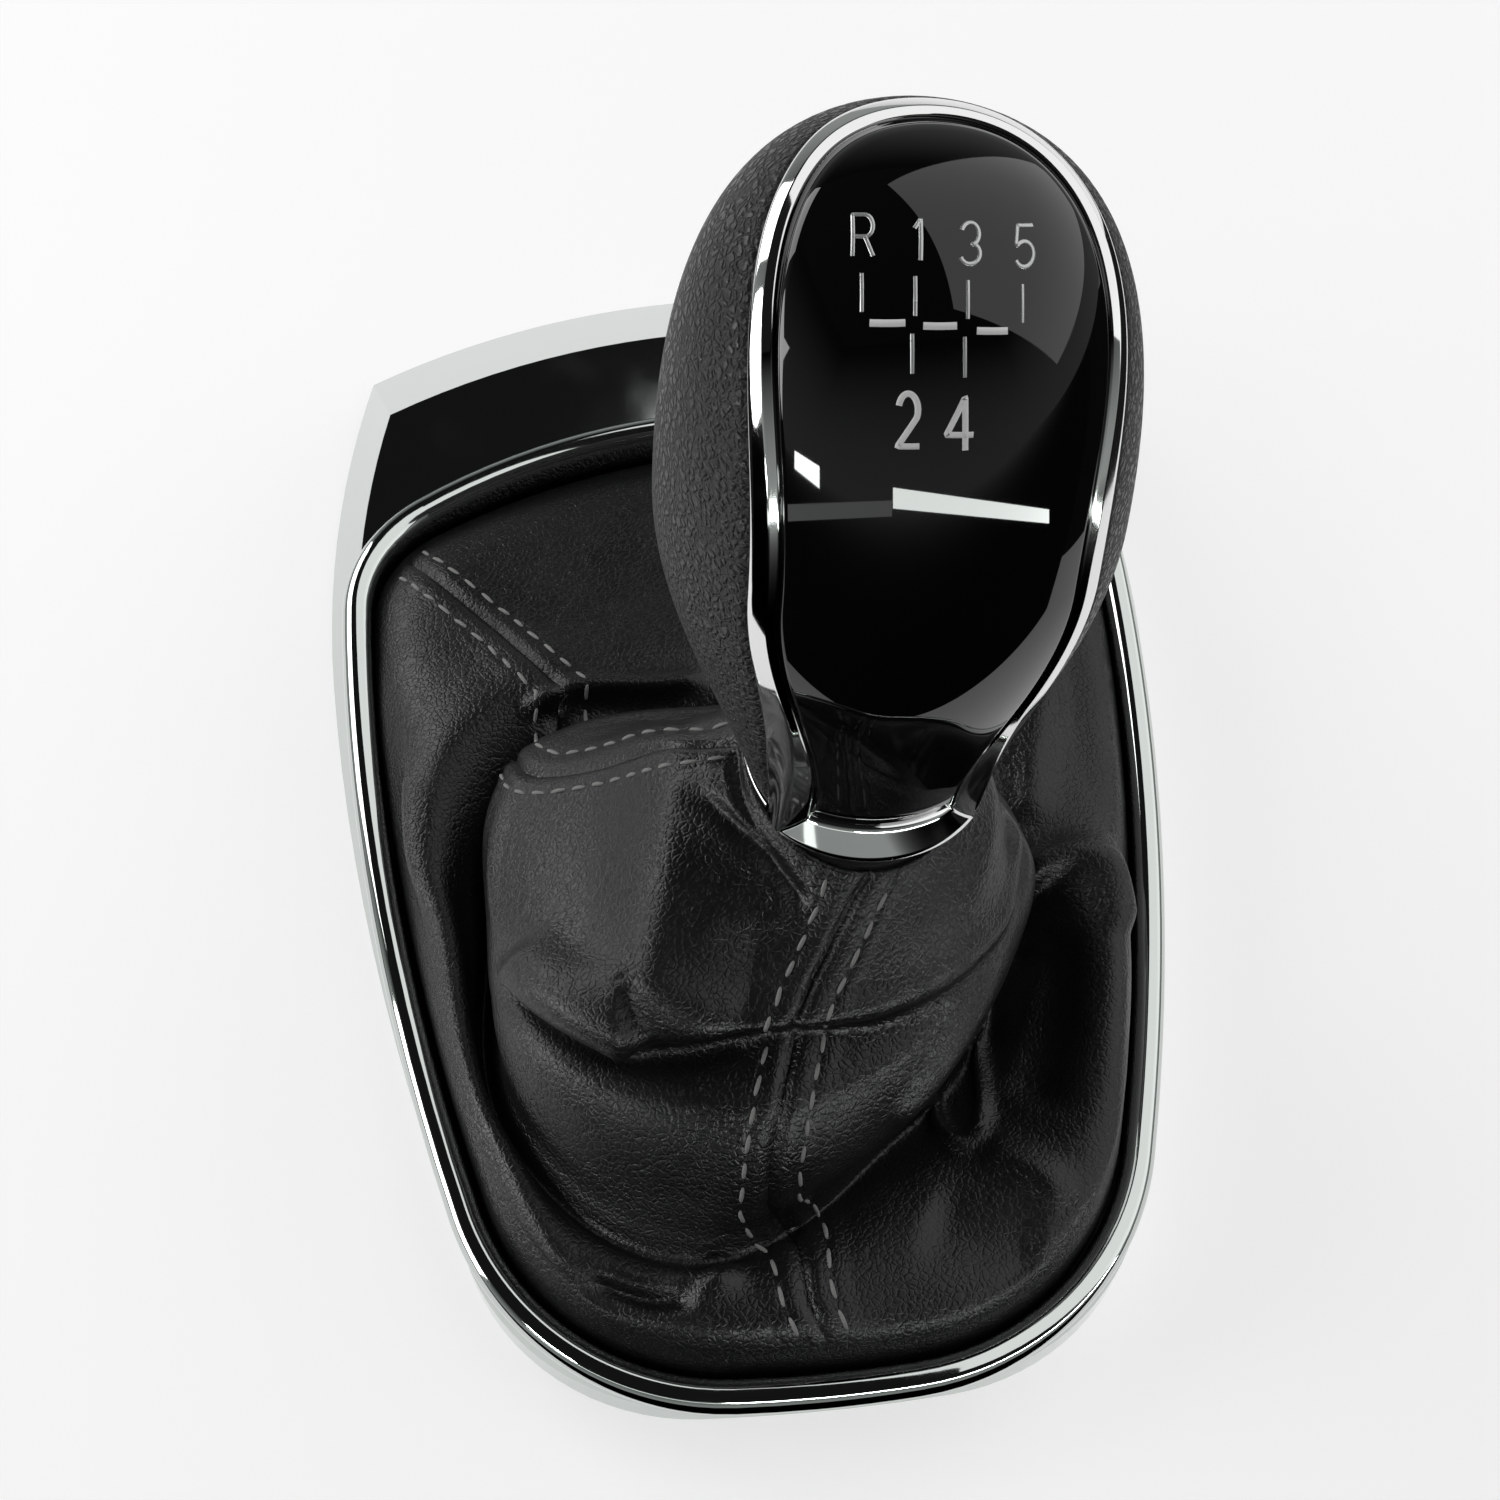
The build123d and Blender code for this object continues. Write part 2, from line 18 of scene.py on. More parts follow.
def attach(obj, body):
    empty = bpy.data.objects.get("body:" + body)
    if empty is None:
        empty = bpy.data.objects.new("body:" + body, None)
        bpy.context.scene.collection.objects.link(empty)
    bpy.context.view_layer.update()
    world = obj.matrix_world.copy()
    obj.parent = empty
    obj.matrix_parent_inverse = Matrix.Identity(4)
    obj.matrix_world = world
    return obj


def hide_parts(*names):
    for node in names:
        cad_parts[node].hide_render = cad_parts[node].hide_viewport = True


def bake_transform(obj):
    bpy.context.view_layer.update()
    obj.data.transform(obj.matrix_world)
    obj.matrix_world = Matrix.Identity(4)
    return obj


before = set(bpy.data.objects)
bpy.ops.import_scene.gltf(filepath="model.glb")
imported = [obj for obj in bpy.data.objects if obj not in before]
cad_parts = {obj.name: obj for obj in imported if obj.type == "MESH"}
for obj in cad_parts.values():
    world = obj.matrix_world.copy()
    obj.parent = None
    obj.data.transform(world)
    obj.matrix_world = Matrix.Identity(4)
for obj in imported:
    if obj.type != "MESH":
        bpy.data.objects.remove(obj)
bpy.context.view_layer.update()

MM = 0.001
FULL_TURN = 360.0
TINY = 1e-12
NOISE_DETAIL = 2.0
log = logging.getLogger("scene")

Colour = tuple[float, float, float, float]
Spot = tuple[float, float, float]
Pair = tuple[float, float]
Faces = list[tuple[int, ...]]
Socket = bpy.types.NodeSocket
Material = bpy.types.Material
Piece = bpy.types.Object

WHITE: Colour = (1.0, 1.0, 1.0, 1.0)
BLACK: Colour = (0.0, 0.0, 0.0, 1.0)


class Slot(Enum):
    """Material slots of the part, passed along with the pieces that cover them."""

    BEZEL_CHROME = "bezel_chrome"
    KNOB_CHROME = "knob_chrome"
    GLOSS_FACE = "gloss_face"
    GRIP_COVER = "grip_cover"
    BOOT_LEATHER = "boot_leather"


class Body(Enum):
    """Bodies that the pieces ride on."""

    BEZEL = "bezel"
    BOOT = "boot"
    KNOB = "knob"


class Recipe:
    """Node tree of one material, with short ways to add and join its nodes."""

    def __init__(self, name: str) -> None:
        """Start a material with the usual surface shader.

        Args:
            name: Name of the material.
        """
        self.material = bpy.data.materials.new(name)
        self.material.use_nodes = True
        self.tree = self.material.node_tree
        self.shader = self.tree.nodes["Principled BSDF"]

    def feed(self, node: bpy.types.Node, inputs: dict[str | int, object]) -> None:
        """Link or set inputs of a node.

        Args:
            node: Node to feed.
            inputs: Socket to link, or constant to set, by the input's name or number.
        """
        for key, value in inputs.items():
            if isinstance(value, Socket):
                self.tree.links.new(value, node.inputs[key])
            else:
                node.inputs[key].default_value = value

    def finished(self, inputs: dict[str | int, object]) -> Material:
        """Material with the given inputs on its surface shader."""
        self.feed(self.shader, inputs)
        return self.material

    def add(self, kind: str, inputs: dict[str | int, object], **settings: object) -> bpy.types.Node:
        """Add a node.

        Args:
            kind: Node type.
            inputs: Socket to link, or constant to set, by the input's name or number.
            settings: Properties of the node.

        Returns:
            The new node.
        """
        node = self.tree.nodes.new(kind)
        for key, value in settings.items():
            setattr(node, key, value)
        self.feed(node, inputs)
        return node

    def coords(self) -> Socket:
        """Coordinates on the object itself."""
        return self.add("ShaderNodeTexCoord", {}).outputs["Object"]

    def noise(self, size: float, coords: Socket) -> bpy.types.Node:
        """Noise with blotches of the given size in millimetres."""
        inputs = {"Vector": coords, "Scale": 1 / (size * MM), "Detail": NOISE_DETAIL}
        return self.add("ShaderNodeTexNoise", inputs)

    def blotches(self, size: float) -> Socket:
        """Blotches of the given size in millimetres, from 0 to 1."""
        return self.noise(size, self.coords()).outputs["Fac"]

    def spread(self, value: Socket, source: Pair, target: Pair) -> Socket:
        """Map a value from one range to another, smoothly.

        Args:
            value: Value to map.
            source: Ends of its range.
            target: Results at those ends.

        Returns:
            The mapped value.
        """
        low, high = source
        start, end = target
        inputs = {"Value": value, "From Min": low, "From Max": high, "To Min": start, "To Max": end}
        return self.add("ShaderNodeMapRange", inputs, interpolation_type="SMOOTHSTEP").outputs["Result"]

    def warped(self, size: float, reach: float) -> Socket:
        """Object coordinates pushed about by noise.

        Args:
            size: Size of a blotch of the noise in millimetres.
            reach: Furthest push in millimetres.

        Returns:
            The pushed coordinates.
        """
        coords = self.coords()
        push = self.noise(size, coords).outputs["Color"]
        inputs = {0: push, 1: (reach * MM,) * 3, 2: coords}
        return self.add("ShaderNodeVectorMath", inputs, operation="MULTIPLY_ADD").outputs["Vector"]

    def pebbles(self, size: float, warp: float, push: float, furrow: float) -> Socket:
        """Irregular pebbles with furrows between them.

        Args:
            size: Size of a pebble in millimetres.
            warp: Size of the noise that bends the furrows, as a share of the pebble.
            push: Furthest that it bends them, as a share of the pebble.
            furrow: Half the width of a furrow, as a share of the pebble.

        Returns:
            Height from 0 in the furrows to 1 on the pebbles.
        """
        inputs = {"Vector": self.warped(size * warp, size * push), "Scale": 1 / (size * MM)}
        edge = self.add("ShaderNodeTexVoronoi", inputs, feature="DISTANCE_TO_EDGE").outputs["Distance"]
        return self.spread(edge, (0.0, furrow), (0.0, 1.0))

    def relief(self, height: Socket, depth: float, strength: float, under: Socket | None = None) -> Socket:
        """Add fine relief.

        Args:
            height: Height from 0 to 1.
            depth: Depth of the relief in millimetres.
            strength: Share of the relief that shows.
            under: Normal of a coarser relief below it, or None.

        Returns:
            The new normal.
        """
        inputs: dict[str | int, object] = {"Height": height, "Distance": depth * MM, "Strength": strength}
        if under is not None:
            inputs["Normal"] = under
        return self.add("ShaderNodeBump", inputs).outputs["Normal"]


@dataclass(frozen=True)
class Polish:
    """Polished surface with faint smears."""

    name: str
    colour: Colour
    metallic: float = 0.0
    ior: float = 1.5
    polish: float = 0.02
    smear: float = 0.04
    smear_size: float = 9.0
    smear_levels: Pair = (0.5, 0.8)

    def material(self) -> Material:
        """Make the material.

        Returns:
            The new material.
        """
        recipe = Recipe(self.name)
        smears = recipe.blotches(self.smear_size)
        haze = recipe.spread(smears, self.smear_levels, (self.polish, self.polish + self.smear))
        return recipe.finished(
            {"Base Color": self.colour, "Metallic": self.metallic, "Roughness": haze, "IOR": self.ior}
        )


@dataclass(frozen=True)
class Gloss(Polish):
    """Polished black plastic."""

    colour: Colour = (0.003, 0.003, 0.0032, 1.0)


@dataclass(frozen=True)
class Chrome(Polish):
    """Bright plated metal."""

    colour: Colour = (0.78, 0.79, 0.78, 1.0)
    metallic: float = 1.0
    polish: float = 0.05
    smear: float = 0.05
    smear_size: float = 14.0
    smear_levels: Pair = (0.45, 0.75)


@dataclass(frozen=True)
class Grain:
    """Soft black cover with a moulded leather grain."""

    name: str
    colour: Colour = (0.012, 0.012, 0.012, 1.0)
    cell: float = 1.15
    warp: float = 1.3
    push: float = 1.5
    furrow: float = 0.3
    depth: float = 0.42
    strength: float = 0.9
    pore_size: float = 0.25
    pore_depth: float = 0.2
    pore_strength: float = 0.5
    low_roughness: float = 0.36
    high_roughness: float = 0.6

    def material(self) -> Material:
        """Make the material.

        Returns:
            The new material.
        """
        recipe = Recipe(self.name)
        pebble = recipe.pebbles(self.cell, self.warp, self.push, self.furrow)
        coarse = recipe.relief(pebble, self.depth, self.strength)
        pores = recipe.blotches(self.cell * self.pore_size)
        fine = recipe.relief(pores, self.depth * self.pore_depth, self.strength * self.pore_strength, coarse)
        rough = recipe.spread(pebble, (0.0, 1.0), (self.high_roughness, self.low_roughness))
        return recipe.finished({"Base Color": self.colour, "Roughness": rough, "Normal": fine})


@dataclass(frozen=True)
class Leather:
    """Black pebbled leather with fine wrinkles."""

    name: str
    colour: Colour = (0.0042, 0.0046, 0.0046, 1.0)
    cell: float = 0.9
    warp: float = 1.6
    push: float = 1.0
    furrow: float = 0.22
    depth: float = 0.12
    strength: float = 0.38
    wrinkle: float = 5.0
    wrinkle_warp: float = 0.7
    wrinkle_push: float = 0.9
    wrinkle_line: float = 0.06
    wrinkle_depth: float = 0.2
    wrinkle_strength: float = 0.19
    worn_size: float = 15.0
    worn_levels: Pair = (0.35, 0.65)
    low_roughness: float = 0.31
    high_roughness: float = 0.41
    sheen: float = 0.42

    def material(self) -> Material:
        """Make the material.

        Returns:
            The new material.
        """
        recipe = Recipe(self.name)
        pebble = recipe.pebbles(self.cell, self.warp, self.push, self.furrow)
        line = recipe.pebbles(self.wrinkle, self.wrinkle_warp, self.wrinkle_push, self.wrinkle_line)
        coarse = recipe.relief(line, self.wrinkle_depth, self.wrinkle_strength)
        fine = recipe.relief(pebble, self.depth, self.strength, coarse)
        worn = recipe.blotches(self.worn_size)
        rough = recipe.spread(worn, self.worn_levels, (self.low_roughness, self.high_roughness))
        return recipe.finished(
            {"Base Color": self.colour, "Roughness": rough, "Specular IOR Level": self.sheen, "Normal": fine}
        )


@dataclass(frozen=True)
class Plain:
    """Plain moulded or painted surface with a slight mottle."""

    name: str
    colour: Colour
    roughness: float = 0.5
    metallic: float = 0.0
    mottle: float = 0.06
    mottle_size: float = 3.0
    mottle_levels: Pair = (0.3, 0.7)

    def material(self) -> Material:
        """Make the material.

        Returns:
            The new material.
        """
        recipe = Recipe(self.name)
        ends = (self.roughness - self.mottle, self.roughness + self.mottle)
        rough = recipe.spread(recipe.blotches(self.mottle_size), self.mottle_levels, ends)
        return recipe.finished({"Base Color": self.colour, "Metallic": self.metallic, "Roughness": rough})


@dataclass(frozen=True)
class Fade:
    """Way in which a glow fades along one axis, from full at its start to none at its end."""

    axis: str
    start: float
    end: float


@dataclass(frozen=True)
class Glow:
    """Studio surface with a brightness of its own."""

    name: str
    strength: float
    fade: Fade | None = None
    tint: Colour = (0.95, 1.0, 0.97, 1.0)

    def material(self) -> Material:
        """Make the material.

        Returns:
            The new material.
        """
        recipe = Recipe(self.name)
        level: object = self.strength
        if self.fade:
            place = recipe.add("ShaderNodeSeparateXYZ", {"Vector": recipe.coords()}).outputs[self.fade.axis]
            level = recipe.spread(place, (self.fade.start * MM, self.fade.end * MM), (self.strength, 0.0))
        return recipe.finished(
            {
                "Base Color": BLACK,
                "Specular IOR Level": 0.0,
                "Emission Color": self.tint,
                "Emission Strength": level,
            }
        )


def mesh_object(name: str, points: np.ndarray, faces: Faces, finish: Material) -> Piece:
    """Make a smooth-shaded object.

    Args:
        name: Name of the piece.
        points: Points in millimetres, one to a row.
        faces: Corners of each face.
        finish: Material of the piece.

    Returns:
        The new object.
    """
    mesh = bpy.data.meshes.new(name)
    mesh.from_pydata((points.reshape(-1, 3) * MM).tolist(), [], faces)
    mesh.materials.append(finish)
    mesh.shade_smooth()
    piece = bpy.data.objects.new(name, mesh)
    bpy.context.scene.collection.objects.link(piece)
    return piece


def grid_faces(rows: int, columns: int, closed: bool = False, start: int = 0) -> Faces:
    """List the faces of a grid of points.

    Args:
        rows: Number of rows of points.
        columns: Number of points in a row.
        closed: Whether each row runs on from its last point to its first.
        start: Number of the grid's first point.

    Returns:
        Corners of each face.
    """
    faces = []
    for row in range(rows - 1):
        for column in range(columns if closed else columns - 1):
            after = (column + 1) % columns
            low, high = start + row * columns, start + (row + 1) * columns
            faces.append((low + column, low + after, high + after, high + column))
    return faces


def unit(vectors: np.ndarray) -> np.ndarray:
    """Vectors scaled to a length of 1."""
    return vectors / np.maximum(np.linalg.norm(vectors, axis=-1, keepdims=True), TINY)


def ease(share: np.ndarray) -> np.ndarray:
    """Smooth step from 0 to 1."""
    share = np.clip(share, 0.0, 1.0)
    return share * share * (3 - 2 * share)


def wrapped(angle: np.ndarray) -> np.ndarray:
    """Angles in degrees, brought within half a turn of 0."""
    return (angle + FULL_TURN / 2) % FULL_TURN - FULL_TURN / 2


def spacing(points: np.ndarray, axis: int = 0) -> np.ndarray:
    """Distances between neighbours along one axis of an array of points."""
    return np.linalg.norm(np.diff(points, axis=axis), axis=-1)


def lengths(points: np.ndarray) -> np.ndarray:
    """Length of a line from its start to each of its points."""
    return np.concatenate([[0.0], np.cumsum(spacing(points))])


def pick(points: np.ndarray, run: np.ndarray, wanted: np.ndarray) -> np.ndarray:
    """Points at the wanted lengths along a line, from the lengths at its own points."""
    return np.stack([np.interp(wanted, run, column) for column in points.T], axis=1)


def resample(points: np.ndarray, count: int) -> np.ndarray:
    """Spread the given number of points evenly along a line."""
    run = lengths(points)
    return pick(points, run, np.linspace(0.0, run[-1], count))


def spline(points: np.ndarray, count: int) -> np.ndarray:
    """Draw a smooth line through points, as a natural cubic spline.

    Args:
        points: Points that the line passes through.
        count: Number of points on the result.

    Returns:
        Points of the smooth line.
    """
    chord = lengths(points)
    size = len(points)
    gaps = np.diff(chord)
    system, right = np.eye(size), np.zeros((size, points.shape[1]))
    for k in range(1, size - 1):
        system[k, k - 1 : k + 2] = gaps[k - 1], 2 * (gaps[k - 1] + gaps[k]), gaps[k]
        right[k] = 6 * ((points[k + 1] - points[k]) / gaps[k] - (points[k] - points[k - 1]) / gaps[k - 1])
    bend = np.linalg.solve(system, right)
    at = np.linspace(0.0, chord[-1], count)
    k = np.clip(np.searchsorted(chord, at, side="right") - 1, 0, size - 2)
    gap = gaps[k][:, None]
    a, b = (chord[k + 1] - at)[:, None] / gap, (at - chord[k])[:, None] / gap
    lift = ((a**3 - a) * bend[k] + (b**3 - b) * bend[k + 1]) * gap**2 / 6
    return a * points[k] + b * points[k + 1] + lift


def rotation(turn: Spot) -> np.ndarray:
    """Turn about X, then the new Y, then the new Z.

    Args:
        turn: The three angles in degrees.

    Returns:
        The turn as a matrix.
    """
    turned = Matrix.Identity(3)
    for angle, axis in zip(turn, "XYZ"):
        turned = turned @ Matrix.Rotation(math.radians(angle), 3, axis)
    return np.array(turned)


@dataclass(frozen=True)
class Card:
    """White card that shows as a streak on the knob's polished face.

    Its corners are the pixels where it shows in the picture, both left ones first.
    """

    name: str
    corners: tuple[Pair, ...]
    glow: float
    distance: float = 220.0
    steps: int = 25


@dataclass(frozen=True)
class Lamp:
    """Soft lamp with a square-cornered panel."""

    name: str
    place: Spot
    aim: Spot
    size: Pair
    power: float


@dataclass
class Studio:
    """Camera, floor, lamps, and the walls and cards that the polished pieces reflect."""

    eye: Spot = (-17.8, -176.9, 283.5)
    elevation: float = 57.0
    azimuth: float = -5.593
    picture: float = 1500.0
    focal: float = 2100.0
    sensor: float = 36.0
    nearest: float = 10.0
    floor_size: float = 12000.0
    floor_shade: float = 0.5
    floor_lift: float = 0.56
    ambient: float = 0.15
    roof_height: float = 1400.0
    wall_reach: float = 1500.0
    wall_glow: float = 0.3
    dark_glow: float = 0.01
    cloth_near: float = -250.0
    cloth_front: float = -104.0
    cloth_side: float = 190.0
    cloth_back: float = 350.0
    cloth_lift: float = 1.0
    lamps: tuple[Lamp, ...] = (
        Lamp("right_lamp", (560.0, 120.0, 640.0), (0.0, -20.0, 50.0), (1500.0, 1200.0), 6.0),
        Lamp("left_lamp", (-600.0, -60.0, 180.0), (0.0, -40.0, 60.0), (300.0, 260.0), 1.5),
        Lamp("back_lamp", (-600.0, 480.0, 420.0), (20.0, -40.0, 20.0), (520.0, 420.0), 2.4),
    )
    cards: tuple[Card, ...] = (
        Card("bright_strip", ((893, 488), (893, 509), (1050, 524), (1050, 510)), 17.0),
        Card("dim_strip", ((786, 505), (786, 522), (892, 517), (892, 501)), 1.3),
        Card("bright_patch", ((794, 451), (794, 469), (819, 489), (819, 467)), 30.0),
    )

    def axes(self) -> tuple[np.ndarray, np.ndarray, np.ndarray]:
        """Directions of the picture.

        Returns:
            Directions to the right, up and forwards.
        """
        rise, turn = math.radians(self.elevation), math.radians(self.azimuth)
        ahead = np.array([-math.sin(turn) * math.cos(rise), math.cos(turn) * math.cos(rise), -math.sin(rise)])
        right = np.array([math.cos(turn), math.sin(turn), 0.0])
        return right, np.cross(right, ahead), ahead

    def pixels(self, points: np.ndarray) -> np.ndarray:
        """Places of points in the picture.

        Args:
            points: Points in millimetres.

        Returns:
            Pixels across and down, one pair to a point.
        """
        right, up, ahead = self.axes()
        offset = points - np.array(self.eye)
        depth = offset @ ahead
        across = self.picture / 2 + self.focal * (offset @ right) / depth
        down = self.picture / 2 - self.focal * (offset @ up) / depth
        return np.stack([across, down], axis=-1)

    def build(self) -> None:
        """Set up the whole studio."""
        self.set_camera()
        self.set_world()
        self.set_floor()
        self.set_walls()
        for lamp in self.lamps:
            self.add_lamp(lamp)
        for card in self.cards:
            self.add_card(card, KnobShape())
        bpy.context.scene.view_settings.view_transform = "Standard"

    def hang(self, holder: Piece, place: Spot, ahead: Vector) -> None:
        """Hang the camera or a lamp.

        Args:
            holder: The camera or the lamp.
            place: Where it hangs.
            ahead: Direction that it looks in.
        """
        holder.location = Vector(place) * MM
        holder.rotation_euler = ahead.to_track_quat("-Z", "Y").to_euler()
        bpy.context.scene.collection.objects.link(holder)

    def set_camera(self) -> None:
        """Place the camera."""
        camera = bpy.data.cameras.new("camera")
        camera.sensor_width = self.sensor
        camera.lens = self.sensor * self.focal / self.picture
        camera.clip_start = self.nearest * MM
        holder = bpy.data.objects.new("camera", camera)
        bpy.context.scene.camera = holder
        self.hang(holder, self.eye, Vector(self.axes()[2]))

    def add_lamp(self, lamp: Lamp) -> None:
        """Add one soft lamp.

        Args:
            lamp: The lamp.
        """
        light = bpy.data.lights.new(lamp.name, "AREA")
        light.shape = "RECTANGLE"
        light.size, light.size_y = (side * MM for side in lamp.size)
        light.energy = lamp.power
        holder = bpy.data.objects.new(lamp.name, light)
        holder.visible_camera = False
        self.hang(holder, lamp.place, Vector(lamp.aim) - Vector(lamp.place))

    def seen_directly(self, tree: bpy.types.NodeTree) -> Socket:
        """Whether a ray comes from the camera, a reflection or a clear piece.

        Args:
            tree: Node tree to add the test to.

        Returns:
            Socket that is 1 for those rays and 0 for the rest.
        """
        path = tree.nodes.new("ShaderNodeLightPath")
        total = path.outputs["Is Camera Ray"]
        for name in ("Is Glossy Ray", "Is Transmission Ray"):
            either = tree.nodes.new("ShaderNodeMath")
            either.operation = "MAXIMUM"
            tree.links.new(total, either.inputs[0])
            tree.links.new(path.outputs[name], either.inputs[1])
            total = either.outputs["Value"]
        return total

    def set_world(self) -> None:
        """White surroundings that light the part softly."""
        world = bpy.data.worlds.new("studio")
        world.use_nodes = True
        tree = world.node_tree
        level = tree.nodes.new("ShaderNodeMapRange")
        level.inputs["To Min"].default_value = self.ambient
        level.inputs["To Max"].default_value = 1.0
        tree.links.new(self.seen_directly(tree), level.inputs["Value"])
        tree.links.new(level.outputs["Result"], tree.nodes["Background"].inputs["Strength"])
        tree.nodes["Background"].inputs["Color"].default_value = WHITE
        bpy.context.scene.world = world

    def level_sheet(self, name: str, across: Pair, along: Pair, height: float, finish: Material) -> Piece:
        """Make a level rectangle.

        Args:
            name: Name of the rectangle.
            across: Its left and right edges.
            along: Its front and back edges.
            height: Its height.
            finish: Its material.

        Returns:
            The rectangle.
        """
        (left, right), (front, back) = across, along
        corners = [(left, front, height), (right, front, height), (right, back, height), (left, back, height)]
        return mesh_object(name, np.array(corners, float), [(0, 1, 2, 3)], finish)

    def set_floor(self) -> None:
        """Pale floor that keeps the part's shadow."""
        recipe = Recipe("floor")
        seen = self.seen_directly(recipe.tree)
        lift = recipe.add("ShaderNodeMath", {0: seen, 1: self.floor_lift}, operation="MULTIPLY")
        finish = recipe.finished(
            {
                "Base Color": (self.floor_shade, self.floor_shade, self.floor_shade, 1.0),
                "Roughness": 1.0,
                "Specular IOR Level": 0.0,
                "Emission Color": WHITE,
                "Emission Strength": lift.outputs["Value"],
            }
        )
        edges = (-self.floor_size / 2, self.floor_size / 2)
        self.level_sheet("floor", edges, edges, 0.0, finish)

    def reflected_only(self, piece: Piece) -> None:
        """Let a studio piece show only in reflections.

        Args:
            piece: The piece.
        """
        piece.visible_camera = False
        piece.visible_diffuse = False
        piece.visible_shadow = False

    def set_walls(self) -> None:
        """Grey walls, dark roof and floor cloths that show only in reflections."""
        reach, top = self.wall_reach, self.roof_height
        side, near, back = self.cloth_side, self.cloth_front, self.cloth_back
        ring = [(-reach, -reach), (reach, -reach), (reach, reach), (-reach, reach)]
        corners = np.array([(x, y, z) for z in (0.0, top) for x, y in ring])
        wall = Glow("walls", self.wall_glow, Fade("Z", 0.0, top)).material()
        dark = Glow("dark_cloth", self.dark_glow).material()
        front = Glow("front_cloth", self.wall_glow, Fade("Y", -reach, self.cloth_near)).material()
        self.reflected_only(mesh_object("walls", corners, grid_faces(2, len(ring), True), wall))
        for name, across, along, height, finish in (
            ("roof", (-reach, reach), (-reach, reach), top, dark),
            ("front_cloth", (-reach, reach), (-reach, near), self.cloth_lift, front),
            ("left_cloth", (-reach, -side), (near, back), self.cloth_lift, dark),
            ("right_cloth", (side, reach), (near, back), self.cloth_lift, dark),
        ):
            self.reflected_only(self.level_sheet(name, across, along, height, finish))

    def add_card(self, card: Card, shape: "KnobShape") -> None:
        """Hang a card where the knob's face throws it back to the camera.

        Args:
            card: The card.
            shape: Body of the knob.
        """
        right, up, ahead = self.axes()
        top_left, low_left, low_right, top_right = np.array(card.corners)
        share = np.linspace(0.0, 1.0, card.steps)[:, None]
        edges = [top_left + (top_right - top_left) * share, low_left + (low_right - low_left) * share]
        points = []
        for across, down in np.concatenate(edges):
            ray = ahead + (right * (across - self.picture / 2) + up * (self.picture / 2 - down)) / self.focal
            point, thrown = shape.mirrored(np.array(self.eye), unit(ray))
            points.append(point + thrown * card.distance)
        finish = Glow(card.name, card.glow).material()
        self.reflected_only(mesh_object(card.name, np.array(points), grid_faces(2, card.steps), finish))


